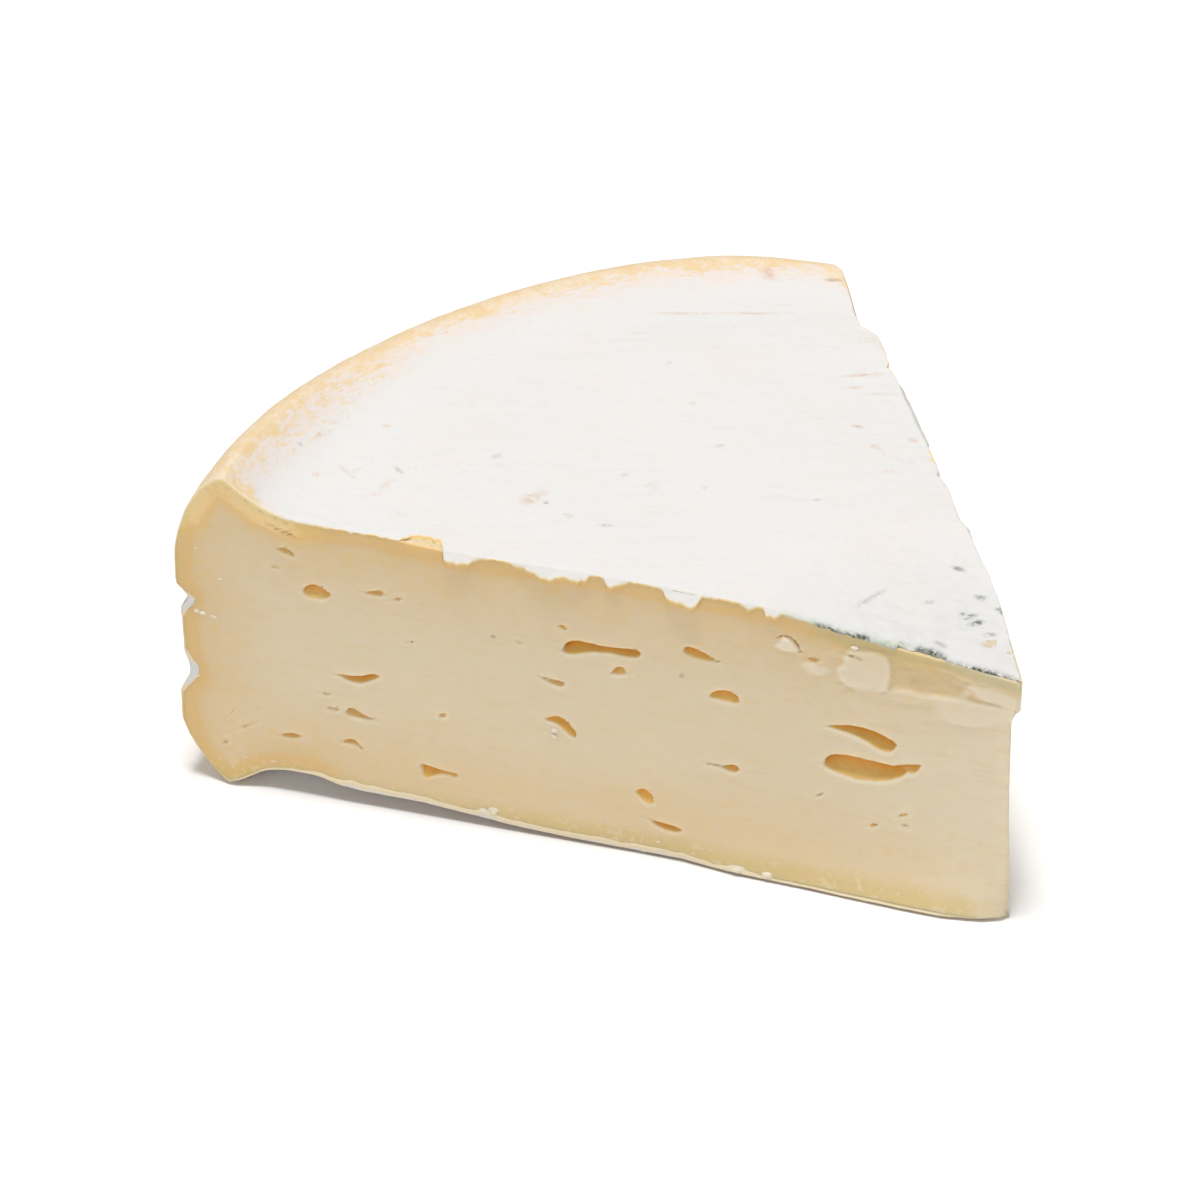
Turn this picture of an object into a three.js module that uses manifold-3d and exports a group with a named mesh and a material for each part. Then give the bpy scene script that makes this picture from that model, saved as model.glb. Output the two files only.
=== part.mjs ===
// A wedge cut from a low wheel of soft-ripened cheese, in millimetres, +Z up.
// The wheel is turned about the wedge's tip, settled a little out of round, cut by two knife planes,
// and opened by the small gas holes, called eyes, that both cut faces show.

import * as THREE from 'three';
import { mergeVertices, toCreasedNormals } from 'three/addons/utils/BufferGeometryUtils.js';
import Module from 'manifold-3d';

const wasm = await Module();
wasm.setup();

// Wheel: the powers round the shoulder, the lower corner and the fall of the lip
const wheelRadius = 116.5;
const cutAngle = THREE.MathUtils.degToRad(62.5);
const plateauHeight = 43;
const lipHeight = 49;
const lipHeightBehind = 45.9;
const cornerDrop = 0.5;
const lipInset = 7.6;
const lipWidth = 5.6;
const lipPower = 1.3;
const shoulderHeight = 35;
const shoulderPower = 1.7;
const cornerInset = 7;
const cornerHeight = 9.5;
const cornerPower = 1.5;

// Mesh: segments within the wedge, rings on base and top, and how these rings crowd
const sectorSegments = 34;
const topRings = 14;
const topCrowding = 1.7;

// Top: a low swell inside the lip, and the sag of the soft tip
const swellHeight = 1.2;
const swellInset = 27;
const swellWidth = 12;
const tipSag = 5.6;
const tipSagLength = 34;
const unevenness = { depth: 0.25, long: 9, phase: 1.3, across: 7.5, slanted: 15 };

// Rim: the crease left by the hoop, the waist under it and the hollow in the waist
const crease = { height: 29, halfWidth: 2.1, depth: 1.5, depthBehind: 0.7 };
const waist = { height: 22.5, halfWidth: 9.5, depth: 0.8, depthBehind: 0.4 };
const hollow = { height: 17, halfWidth: 3.6, depth: 1.1, depthBehind: 0.3 };
const dentFade = THREE.MathUtils.degToRad(22);
const rimShare = { starts: 0.9, full: 0.98 };

// Shares of the cut angle over which the lip and then the far corner sink
const lipSlump = { starts: 0, full: 0.45 };
const cornerSlump = { starts: 0.88, full: 1.02 };

// Base: the arch where the paste has lifted off the board behind the first cut, as distance from the tip and
// lift, and how far it reaches behind the cut
const archProfile = [
  [0, 0], [12, 0], [26, 0], [40, 0], [52, 0], [62, 0.15], [68, 0.45], [76, 1.2], [82, 1.75], [90, 1.85],
  [93.7, 2.15], [96.5, 3.1], [101, 3.25], [104.5, 2.6], [107.3, 0.9], [109.5, 0],
];
const archReach = 27;

// First cut: how far the soft paste has slumped out over the board, by distance from the tip, and how high up
const slumpProfile = [
  [-5, 0], [0, 0.1], [1, 0.9], [3.5, 2.1], [8.5, 2.9], [14, 2.7], [20, 2.3], [28, 1.75], [38, 1.25], [45, 0.2],
  [52, 0], [104, 0], [109, 0.9], [114, 0], [130, 0],
];
const slumpLevels = [-10, 0, 1.5, 3, 5, 7.5, 10.5, 14, 60];
const slumpHeight = 14;

// Knife cuts
const tipBluntness = 0.4;
const knifeReach = 130;
const slumpReach = 8;
const secondCutWaves = [
  { fromTip: 16, width: 13, out: 1.25 },
  { fromTip: 62, width: 30, out: 0.35 },
  { fromTip: 104, width: 8, out: -2.2 },
];

// Eyes of the first cut: distance from the tip, height, length, thickness, slope in degrees and how much
// thicker the end away from the tip is
const firstCutEyes = [
  { fromTip: 100.2, height: 39, length: 2.9, thick: 0.9, slope: 19 },
  { fromTip: 96, height: 33.3, length: 4, thick: 2.1, slope: -3 },
  { fromTip: 88.2, height: 34.7, length: 3.4, thick: 0.9, slope: -4, taper: -0.3 },
  { fromTip: 90.7, height: 20.5, length: 6.4, thick: 1.5, slope: -7 },
  { fromTip: 90.3, height: 14.6, length: 4.6, thick: 1.3, slope: 8, taper: 0.4 },
  { fromTip: 91.8, height: 9.7, length: 4.1, thick: 1.1, slope: 13 },
  { fromTip: 100.5, height: 9.2, length: 4, thick: 1, slope: -7 },
  { fromTip: 79.4, height: 7.4, length: 5.3, thick: 1.6, slope: 8, taper: 0.5 },
  { fromTip: 63.5, height: 25.3, length: 4, thick: 0.9, slope: 10, taper: -0.3 },
  { fromTip: 62.1, height: 18.4, length: 4.9, thick: 2, slope: 22 },
  { fromTip: 56.4, height: 31.4, length: 10.7, thick: 1.7, slope: -4, taper: 0.35 },
  { fromTip: 61.8, height: 34.1, length: 1.4, thick: 0.9, slope: 10 },
  { fromTip: 54, height: 28.5, length: 3.4, thick: 1.3, slope: 0 },
  { fromTip: 50.3, height: 9.3, length: 2.9, thick: 2.1, slope: 24 },
  { fromTip: 48, height: 5, length: 5.6, thick: 1, slope: 11, taper: -0.3 },
  { fromTip: 42.7, height: 33.4, length: 5, thick: 1.5, slope: 10, taper: 0.4 },
  { fromTip: 39.6, height: 27.6, length: 4.1, thick: 1.6, slope: 0 },
  { fromTip: 39, height: 16.2, length: 3.6, thick: 1.1, slope: 0, taper: -0.4 },
  { fromTip: 27.6, height: 35.5, length: 2.1, thick: 0.6, slope: -4 },
  { fromTip: 20.8, height: 24.8, length: 9.6, thick: 2.3, slope: 8, taper: -0.3 },
  { fromTip: 19.5, height: 19.8, length: 12.6, thick: 3.6, slope: -5, taper: 0.15 },
];

// Eyes of the second cut are strewn over it in a row along its length: two sines of the eye's number, each
// with its own step and start, make their heights and lengths wander
const secondCutEyes = {
  count: 13,
  first: 18,
  step: 6.6,
  lowest: 7,
  highest: 35,
  shortest: 3,
  longest: 8.2,
  wander: { step: 2.4, start: 0.7 },
  spread: { step: 4.1, start: 2, shift: 2.2, slope: 12 },
};

// An eye's floor lies nearer its middle than its roof does, and its hollow grows with its length
const floorShare = 0.75;
const eyeDepth = { least: 0.8, perLength: 0.3, most: 3.4 };

// Torn paste under the rind, beside the tip on the first cut
const tornScoops = [
  { fromTip: 12.5, height: 35.3, length: 10.5, thick: 4.6, deep: 1.2, slope: 2 },
  { fromTip: 27.5, height: 37.6, length: 9, thick: 2.8, deep: 0.8, slope: 8 },
  { fromTip: 4.2, height: 32.8, length: 5.4, thick: 1.3, deep: 0.8, slope: 10 },
];

// Rises smoothly from 0 to 1 between two values, which may also be given in falling order.
function smooth(from, to, value) {
  const t = THREE.MathUtils.clamp((value - from) / (to - from), 0, 1);
  return t * t * (3 - 2 * t);
}

// Equal steps after one value, up to and including another.
function evenSteps(from, to, count) {
  return Array.from({ length: count }, (_, i) => THREE.MathUtils.lerp(from, to, (i + 1) / count));
}

// A rounded dent that is 1 at its middle and 0 at its half width.
function dent(value, middle, halfWidth) {
  const t = Math.min(1, Math.abs(value - middle) / halfWidth);
  return (1 - t * t) ** 2;
}

// Straight lines between the points of a profile, and level beyond its ends.
function profileAt(profile, at) {
  const next = profile.findIndex(([place]) => place >= at);
  if (next <= 0) {
    return profile.at(next)[1];
  }
  const [[from, low], [to, high]] = [profile[next - 1], profile[next]];
  return THREE.MathUtils.mapLinear(at, from, to, low, high);
}

// Radius of the wheel at an angle from the first cut: nearly round, and drawn in at the second cut.
const outline = new THREE.SplineCurve([
  new THREE.Vector2(-0.1, wheelRadius - 1),
  new THREE.Vector2(0, wheelRadius),
  new THREE.Vector2(0.3, wheelRadius + 1.1),
  new THREE.Vector2(0.6, wheelRadius - 1.2),
  new THREE.Vector2(0.85, wheelRadius - 6.2),
  new THREE.Vector2(1, wheelRadius - 13.3),
  new THREE.Vector2(1.1, wheelRadius - 19.3),
]).getPoints(120);

function wheelRadiusAt(angle) {
  const part = THREE.MathUtils.clamp(angle / cutAngle, -0.1, 1.1);
  const next = Math.max(1, outline.findIndex((point) => point.x >= part - 1e-6));
  const [a, b] = [outline[next - 1], outline[next]];
  return THREE.MathUtils.mapLinear(part, a.x, b.x, a.y, b.y);
}

// Half section of the wheel, from the axis along the base, up the rim and back over the top.
function wheelSection() {
  const points = [new THREE.Vector2(0, 0)];
  for (const [fromTip] of archProfile.slice(1)) {
    points.push(new THREE.Vector2(fromTip, 0));
  }
  for (const above of evenSteps(0, 1, 5)) {
    const inset = cornerInset * (1 - (1 - (1 - above) ** cornerPower) ** (1 / cornerPower));
    points.push(new THREE.Vector2(wheelRadius - inset, cornerHeight * above));
  }
  const wallHeights = [
    ...evenSteps(cornerHeight, crease.height - crease.halfWidth, 9),
    ...evenSteps(crease.height - crease.halfWidth, crease.height + crease.halfWidth, 4),
    ...evenSteps(crease.height + crease.halfWidth, shoulderHeight, 3),
  ];
  for (const height of wallHeights) {
    points.push(new THREE.Vector2(wheelRadius, height));
  }
  for (const turn of evenSteps(0, Math.PI / 2, 6)) {
    const inset = lipInset * (1 - Math.cos(turn) ** (2 / shoulderPower));
    const height = shoulderHeight + (lipHeight - shoulderHeight) * Math.sin(turn) ** (2 / shoulderPower);
    points.push(new THREE.Vector2(wheelRadius - inset, height));
  }
  const topSpan = wheelRadius - lipInset;
  for (const part of evenSteps(0, 1, topRings).slice(0, -1)) {
    const inset = lipInset + topSpan * part ** topCrowding;
    const fall = Math.exp(-(((inset - lipInset) / lipWidth) ** lipPower));
    const swell = swellHeight * Math.exp(-(((inset - swellInset) / swellWidth) ** 2));
    const height = plateauHeight + (lipHeight - plateauHeight) * fall + swell * (1 - fall);
    points.push(new THREE.Vector2(wheelRadius - inset, height));
  }
  points.push(new THREE.Vector2(0, plateauHeight));
  return points;
}

// How far the base stands off the board at a distance from the tip and a depth behind the first cut.
function archLift(fromTip, behind) {
  return profileAt(archProfile, fromTip) * (1 - smooth(0, archReach, behind));
}

// Moves one vertex of the round wheel to where the settled cheese has it.
function settle(point) {
  const radius = Math.hypot(point.x, point.y);
  const angle = Math.atan2(point.y, -point.x);
  const behind = point.y;
  const dentKeep = 1 - smooth(0, dentFade, angle);
  const onRim = smooth(wheelRadius * rimShare.starts, wheelRadius * rimShare.full, radius);
  let pushed = 0;
  for (const { height, halfWidth, depth, depthBehind } of [crease, waist, hollow]) {
    pushed += onRim * THREE.MathUtils.lerp(depthBehind, depth, dentKeep) * dent(point.z, height, halfWidth);
  }
  const scale = radius > 0 ? ((radius - pushed) / radius) * (wheelRadiusAt(angle) / wheelRadius) : 1;
  point.x *= scale;
  point.y *= scale;

  const top = smooth(shoulderHeight, plateauHeight, point.z);
  const share = angle / cutAngle;
  const lipDrop = (lipHeight - lipHeightBehind) * smooth(lipSlump.starts, lipSlump.full, share)
    + cornerDrop * smooth(cornerSlump.starts, cornerSlump.full, share);
  const lipShare = Math.max(0, point.z - plateauHeight) / (lipHeight - plateauHeight);
  const nearRim = smooth(swellInset, lipInset, wheelRadius - radius);
  const { depth, long, phase, across, slanted } = unevenness;
  const waves = Math.sin(point.x / long + phase) * Math.cos(point.y / across)
    + Math.sin((point.x - point.y) / slanted);
  if (point.z > shoulderHeight) {
    point.z -= lipDrop * lipShare * nearRim;
    point.z -= tipSag * Math.max(0, 1 - radius / tipSagLength);
    point.z += depth * waves * top * (1 - nearRim);
  } else if (point.z === 0) {
    point.z += archLift(radius, behind);
  }
}

// Solid of a closed geometry, ready to be joined or cut.
function solidOf(geometry) {
  geometry.deleteAttribute('normal');
  geometry.deleteAttribute('uv');
  const merged = mergeVertices(geometry, 1e-4);
  const corners = merged.index.array;
  const kept = [];
  for (let i = 0; i < corners.length; i += 3) {
    const [a, b, c] = [corners[i], corners[i + 1], corners[i + 2]];
    if (a !== b && b !== c && c !== a) {
      kept.push(a, b, c);
    }
  }
  const mesh = new wasm.Mesh({
    numProp: 3,
    vertProperties: new Float32Array(merged.attributes.position.array),
    triVerts: new Uint32Array(kept),
  });
  return new wasm.Manifold(mesh);
}

function geometryOf(solid) {
  const mesh = solid.getMesh();
  const geometry = new THREE.BufferGeometry();
  geometry.setAttribute('position', new THREE.BufferAttribute(new Float32Array(mesh.vertProperties), 3));
  geometry.setIndex(new THREE.BufferAttribute(new Uint32Array(mesh.triVerts), 1));
  return geometry;
}

function wheel() {
  const turns = Math.round((sectorSegments * 2 * Math.PI) / cutAngle);
  const geometry = new THREE.LatheGeometry(wheelSection(), turns);
  geometry.rotateX(Math.PI / 2);
  const position = geometry.attributes.position;
  const point = new THREE.Vector3();
  for (let i = 0; i < position.count; i += 1) {
    point.fromBufferAttribute(position, i);
    point.z = Math.abs(point.z) < 1e-6 ? 0 : point.z;
    settle(point);
    position.setXYZ(i, point.x, point.y, point.z);
  }
  return solidOf(geometry);
}

// A point on the second cut at a distance from the tip, with the waves that the blade left.
function secondCutPoint(fromTip) {
  let out = 0;
  for (const wave of secondCutWaves) {
    out += wave.out * Math.exp(-(((fromTip - wave.fromTip) / wave.width) ** 2));
  }
  const alongX = -Math.cos(cutAngle);
  const alongY = Math.sin(cutAngle);
  return new THREE.Vector2(alongX * fromTip + alongY * out, alongY * fromTip - alongX * out);
}

// The space before the second knife plane, as tall as the wheel and more, reaching in front of the first cut.
function besideTheSecondCut() {
  const outlineOfCut = new THREE.Shape();
  outlineOfCut.moveTo(-tipBluntness, -slumpReach);
  outlineOfCut.lineTo(-tipBluntness, 0);
  const bladeSteps = 16;
  for (let i = 0; i <= bladeSteps; i += 1) {
    const point = secondCutPoint(THREE.MathUtils.lerp(tipBluntness, knifeReach, i / bladeSteps));
    outlineOfCut.lineTo(point.x, point.y);
  }
  outlineOfCut.lineTo(-knifeReach, knifeReach);
  outlineOfCut.lineTo(-knifeReach, -slumpReach);
  const geometry = new THREE.ExtrudeGeometry(outlineOfCut, { depth: 70, bevelEnabled: false });
  geometry.translate(0, 0, -10);
  return solidOf(geometry);
}

// The space in front of the first cut: a block whose far side bulges towards the knife where paste has slumped.
function beforeTheFirstCut() {
  const columns = slumpProfile.map(([fromTip]) => -fromTip);
  const [across, up] = [columns.length - 1, slumpLevels.length - 1];
  const geometry = new THREE.BoxGeometry(across, 1, up, across, 1, up);
  const position = geometry.attributes.position;
  for (let i = 0; i < position.count; i += 1) {
    const x = columns[Math.round(across / 2 - position.getX(i))];
    const z = slumpLevels[Math.round(position.getZ(i) + up / 2)];
    const share = THREE.MathUtils.clamp(1 - z / slumpHeight, 0, 1);
    const slump = profileAt(slumpProfile, -x) * share ** 2;
    position.setXYZ(i, x, position.getY(i) > 0 ? -slump : -knifeReach, z);
  }
  return solidOf(geometry);
}

// One eye: a flattened bubble whose roof is arched and whose floor is flat, longer along the cut.
function bubble({ length, thick, deep, slope, taper = 0 }) {
  const geometry = new THREE.SphereGeometry(1, 10, 6);
  geometry.rotateX(Math.PI / 2);
  const position = geometry.attributes.position;
  for (let i = 0; i < position.count; i += 1) {
    const along = position.getX(i);
    const inward = position.getY(i);
    const up = position.getZ(i);
    const fatness = 1 - taper * along;
    const arched = up > 0 ? up : up * floorShare;
    const z = (arched - (1 - floorShare) / 2) * (thick / (1 + floorShare)) * fatness;
    position.setXYZ(i, along * length / 2, inward * deep, z);
  }
  geometry.rotateY(THREE.MathUtils.degToRad(slope));
  return geometry;
}

function depthOf(length) {
  return Math.min(eyeDepth.most, eyeDepth.least + eyeDepth.perLength * length);
}

function firstCutHole(eye) {
  const deep = eye.deep ?? depthOf(eye.length);
  const geometry = bubble({ ...eye, deep });
  geometry.translate(-eye.fromTip, 0, eye.height);
  return solidOf(geometry);
}

function secondCutHole(index) {
  const eyes = secondCutEyes;
  const wander = Math.sin(index * eyes.wander.step + eyes.wander.start);
  const spread = Math.sin(index * eyes.spread.step + eyes.spread.start);
  const length = THREE.MathUtils.lerp(eyes.shortest, eyes.longest, Math.abs(wander * spread));
  const thick = 0.9 + length * 0.24;
  const fromTip = eyes.first + eyes.step * index + eyes.spread.shift * spread;
  const height = THREE.MathUtils.mapLinear(wander, -1, 1, eyes.lowest, eyes.highest);
  const slope = eyes.spread.slope * spread;
  const geometry = bubble({ length, thick, deep: depthOf(length), slope, taper: 0.2 });
  const place = secondCutPoint(fromTip);
  geometry.rotateZ(-cutAngle);
  geometry.translate(place.x, place.y, height);
  return solidOf(geometry);
}

function cheeseWedge() {
  let solid = wheel().intersect(besideTheSecondCut()).subtract(beforeTheFirstCut());
  for (const eye of [...firstCutEyes, ...tornScoops]) {
    solid = solid.subtract(firstCutHole(eye));
  }
  for (let i = 0; i < secondCutEyes.count; i += 1) {
    solid = solid.subtract(secondCutHole(i));
  }
  const geometry = geometryOf(solid);
  geometry.computeBoundingBox();
  const middle = geometry.boundingBox.getCenter(new THREE.Vector3());
  geometry.translate(-middle.x, -middle.y, -geometry.boundingBox.min.z);
  return toCreasedNormals(geometry, THREE.MathUtils.degToRad(35));
}

const paste = new THREE.MeshStandardMaterial({ color: 0xe3d3a8, roughness: 0.6, metalness: 0 });
const wedge = new THREE.Mesh(cheeseWedge(), paste);
wedge.name = 'cheese_wedge';

const model = new THREE.Group();
model.add(wedge);

export default model;
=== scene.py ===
import math
import bpy
import numpy as np
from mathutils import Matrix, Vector


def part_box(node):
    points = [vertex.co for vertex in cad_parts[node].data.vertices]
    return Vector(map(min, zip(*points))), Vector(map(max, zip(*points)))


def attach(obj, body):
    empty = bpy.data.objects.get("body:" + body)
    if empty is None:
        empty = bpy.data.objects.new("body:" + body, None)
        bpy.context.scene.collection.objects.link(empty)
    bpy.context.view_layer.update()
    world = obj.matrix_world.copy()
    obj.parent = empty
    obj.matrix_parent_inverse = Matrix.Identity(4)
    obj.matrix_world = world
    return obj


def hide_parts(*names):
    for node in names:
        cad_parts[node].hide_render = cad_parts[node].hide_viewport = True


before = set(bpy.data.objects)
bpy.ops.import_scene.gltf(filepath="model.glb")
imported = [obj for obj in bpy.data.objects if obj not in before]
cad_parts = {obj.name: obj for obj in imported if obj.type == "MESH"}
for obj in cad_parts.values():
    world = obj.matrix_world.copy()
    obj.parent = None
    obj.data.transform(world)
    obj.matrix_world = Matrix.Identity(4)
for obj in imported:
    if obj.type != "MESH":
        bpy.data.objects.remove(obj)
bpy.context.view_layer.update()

# Everything below is worked out in millimetres from the wedge's tip: the first cut runs along -x at y = 0,
# the cheese lies behind it in +y, and z is the height. toFrame turns that into the frame's metres.

# The same named sizes as the solid. Outline: share of the cut angle and radius. Dents: height, half width,
# depth in front and behind. Arch, slump and steps: distance from the tip, how far the surface has moved
# there. Waves: distance from the tip, width, how far out.
wheel = {
    "radius": 116.5, "cutAngle": math.radians(62.5),
    "plateau": 43, "lip": 49, "lipInset": 7.6, "lipWidth": 5.6, "lipPower": 1.3,
    "lipBehind": 45.9, "lipSlump": (0, 0.45), "cornerDrop": 0.5, "cornerSlump": (0.88, 1.02),
    "shoulder": 35, "shoulderPower": 1.7, "cornerInset": 7, "cornerHeight": 9.5, "cornerPower": 1.5,
    "swell": 1.2, "swellInset": 27, "swellWidth": 12, "tipSag": 5.6, "tipSagLength": 34,
    "uneven": 0.25, "unevenLong": 9, "unevenPhase": 1.3, "unevenAcross": 7.5, "unevenSlanted": 15,
    "outline": (
        (-0.1, 115.5), (0, 116.5), (0.3, 117.6), (0.6, 115.3), (0.85, 110.3), (1, 103.2), (1.1, 97.2),
    ),
    "dents": ((29, 2.1, 1.5, 0.7), (22.5, 9.5, 0.8, 0.4), (17, 3.6, 1.1, 0.3)),
    "dentFade": math.radians(22), "rimShare": (0.9, 0.98),
    "arch": (
        (52, 0), (62, 0.15), (68, 0.45), (76, 1.2), (82, 1.75), (90, 1.85), (93.7, 2.15), (96.5, 3.1),
        (101, 3.25), (104.5, 2.6), (107.3, 0.9), (109.5, 0),
    ),
    "archReach": 27, "archHeight": 3,
    "slump": (
        (0, 0.1), (1, 0.9), (3.5, 2.1), (8.5, 2.9), (14, 2.7), (20, 2.3), (28, 1.75), (38, 1.25), (45, 0.2),
        (52, 0), (104, 0), (109, 0.9), (114, 0),
    ),
    "slumpHeight": 14, "slumpReach": 22,
    "steps": (
        (30, 0), (31.8, 0.45), (34.5, 0.25), (38.2, 0), (41.8, 0.2), (43, 0.55), (44.2, 0.1), (48, 0),
        (67, 0), (70, 0.35), (71.3, 0.8), (72, 0.3), (75.5, 0.1), (79.7, 0.1), (81.3, 0.9), (82.6, 1.75),
        (84, 1.7), (89, 1.15), (92.5, 0.75), (96, 0.3), (99, 0),
    ),
    "stepsReach": 7, "stepsHeights": (32, 42),
    "waves": ((16, 13, 1.25), (62, 30, 0.35), (104, 8, -2.2)), "waveShare": (0.4, 1), "blunt": 0.4,
}

alongSecond = np.array([-math.cos(wheel["cutAngle"]), math.sin(wheel["cutAngle"])])
outSecond = np.array([math.sin(wheel["cutAngle"]), math.cos(wheel["cutAngle"])])


def smooth(low, high, value):
    # 0 below low, 1 above high, 3t^2 - 2t^3 between; low may be the larger of the two
    t = np.clip((value - low) / (high - low), 0, 1)
    return t * t * (3 - 2 * t)


def bell(value, middle, width):
    # exp(-((value - middle) / width)^2)
    return np.exp(-(((value - middle) / width) ** 2))


def dent(value, middle, halfWidth):
    # (1 - t^2)^2 inside the half width, 0 outside
    t = np.minimum(1, np.abs(value - middle) / halfWidth)
    return (1 - t * t) ** 2


def randomAt(cell, seed):
    # one repeatable number from -1 to 1 for each whole-number cell, by mixing its bits
    mixed = cell[..., 0] * 73856093 ^ cell[..., 1] * 19349663 ^ cell[..., 2] * 83492791 ^ seed * 1540483477
    mixed = (mixed ^ mixed >> 13) * 1274126177
    mixed = (mixed ^ mixed >> 15) * 668265263
    return ((mixed ^ mixed >> 16) & 65535) / 32767.5 - 1


def noise(points, size, seed, layers=1):
    # value noise: cell corners' random numbers blended by 3t^2 - 2t^3, each further layer half the size
    at = points / np.broadcast_to(np.asarray(size, float), (3,))
    total, weight = 0, 0
    for layer in range(layers):
        cell = np.floor(at).astype(np.int64)
        part = at - cell
        part = part * part * (3 - 2 * part)
        value = 0
        for corner in np.ndindex(2, 2, 2):
            share = np.where(corner, part, 1 - part).prod(axis=-1)
            value = value + share * randomAt(cell + corner, seed + layer)
        total = total + value * 0.5 ** layer
        weight += 0.5 ** layer
        at = at * 2 + 17.3
    return total / weight


def noiseAlong(distance, size, seed, layers=1):
    # the same noise over one length
    return noise(np.stack([distance, 0 * distance + 5.1, 0 * distance + 9.7], -1), size, seed, layers)


def secondCutWave(fromTip):
    # how far the second cut stands out from its straight line
    return sum(out * bell(fromTip, at, width) for at, width, out in wheel["waves"])


def secondCutDistance(place):
    # how far a place lies inside the second cut
    fromTip = place[:, :2] @ alongSecond
    return secondCutWave(fromTip) - place[:, :2] @ outSecond


def tipPlace():
    # The tip in the frame: the solid's box reaches the blunted tip of the second cut in x, the slump of the
    # first cut in y and the base in z.
    low, high = (np.array(corner) * 1000 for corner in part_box("cheese_wedge"))
    past = wheel["blunt"] * alongSecond[0] + secondCutWave(wheel["blunt"]) * outSecond[0]
    return np.array([high[0] - past, low[1] + max(out for _, out in wheel["slump"]), low[2]])


tip = tipPlace()


def toFrame(points):
    # millimetres from the tip to metres in the frame
    return (points + tip) * 0.001


def profileAt(profile, at):
    # straight lines between a profile's points, softened: (before + 2 here + after) / 4, 0.7 mm apart
    samples = [np.interp(at + step, *zip(*profile)) for step in (-0.7, 0, 0.7)]
    return (samples[0] + 2 * samples[1] + samples[2]) / 4


def slumped(points):
    # Soft paste pushed out over the board: y - out(x) (1 - z / height)^2, less behind the first cut and none
    # at the second. The second cut's top edge is pushed in by its steps.
    low = np.clip(1 - np.maximum(points[:, 2], 0) / wheel["slumpHeight"], 0, 1) ** 2
    out = np.interp(-points[:, 0], *zip(*wheel["slump"])) * low
    fromTip = points[:, :2] @ alongSecond
    inBack = secondCutDistance(points)
    out = out * smooth(wheel["slumpReach"], 0, points[:, 1]) * smooth(0, 1.2, inBack)
    pushed = np.interp(fromTip, *zip(*wheel["steps"])) * smooth(wheel["stepsReach"], 0, inBack)
    pushed = pushed * smooth(*wheel["stepsHeights"], points[:, 2])
    return points - np.stack([pushed * outSecond[0], out + pushed * outSecond[1], 0 * out], -1)


def outlineTable():
    # Catmull-Rom through the outline's points, (2b + (c-a)t + (2a-5b+4c-d)t^2 + (3b-a-3c+d)t^3) / 2: the
    # radius at each share of the cut angle
    knots = np.array(wheel["outline"], float)
    knots = np.vstack([2 * knots[0] - knots[1], knots, 2 * knots[-1] - knots[-2]])
    t = np.linspace(0, 1, 40)[:, None]
    a, b, c, d = (knots[i:len(knots) - 3 + i][:, None] for i in range(4))
    bent, twisted = 2 * a - 5 * b + 4 * c - d, 3 * b - a - 3 * c + d
    curve = 0.5 * (2 * b + (c - a) * t + bent * t ** 2 + twisted * t ** 3)
    return curve.reshape(-1, 2).T


outlineShare, outlineRadius = outlineTable()


def settle(radius, angle, height):
    # Round wheel to settled cheese: radius scaled by the outline, rim pushed in at crease and hollow, lip and
    # tip lowered, base lifted over the arch, and the second cut's waves faded in towards it.
    w = wheel
    keep = 1 - smooth(0, w["dentFade"], angle)
    pushed = 0
    for middle, halfWidth, front, behind in w["dents"]:
        pushed = pushed + (behind + (front - behind) * keep) * dent(height, middle, halfWidth)
    pushed = pushed * smooth(*(w["radius"] * part for part in w["rimShare"]), radius)
    share = angle / w["cutAngle"]
    out = (radius - pushed) * np.interp(share, outlineShare, outlineRadius) / w["radius"]
    x, y = -out * np.cos(angle), out * np.sin(angle)
    wave = secondCutWave(out) * smooth(*w["waveShare"], share)
    x, y = x + outSecond[0] * wave, y + outSecond[1] * wave

    lipDrop = (w["lip"] - w["lipBehind"]) * smooth(*w["lipSlump"], share)
    lipDrop = lipDrop + w["cornerDrop"] * smooth(*w["cornerSlump"], share)
    lipShare = np.maximum(0, height - w["plateau"]) / (w["lip"] - w["plateau"])
    nearRim = smooth(w["swellInset"], w["lipInset"], w["radius"] - radius)
    ripple = np.sin(x / w["unevenLong"] + w["unevenPhase"]) * np.cos(y / w["unevenAcross"])
    ripple = ripple + np.sin((x - y) / w["unevenSlanted"])
    top = lipDrop * lipShare * nearRim + w["tipSag"] * np.maximum(0, 1 - radius / w["tipSagLength"])
    top = top - w["uneven"] * ripple * smooth(w["shoulder"], w["plateau"], height) * (1 - nearRim)
    lift = profileAt(w["arch"], radius) * smooth(w["archReach"], 0, y) * smooth(w["archHeight"], 0, height)
    z = np.where(height > w["shoulder"], height - top, height + lift)
    return np.stack([x, y, z], -1)


def topHeight(radius):
    # plateau, plus the lip falling away inward, plus the low swell inside it
    inset = wheel["radius"] - radius
    fall = np.exp(-(np.maximum(0, inset - wheel["lipInset"]) / wheel["lipWidth"]) ** wheel["lipPower"])
    swell = wheel["swell"] * bell(inset, wheel["swellInset"], wheel["swellWidth"])
    return wheel["plateau"] + (wheel["lip"] - wheel["plateau"]) * fall + swell * (1 - fall)


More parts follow.
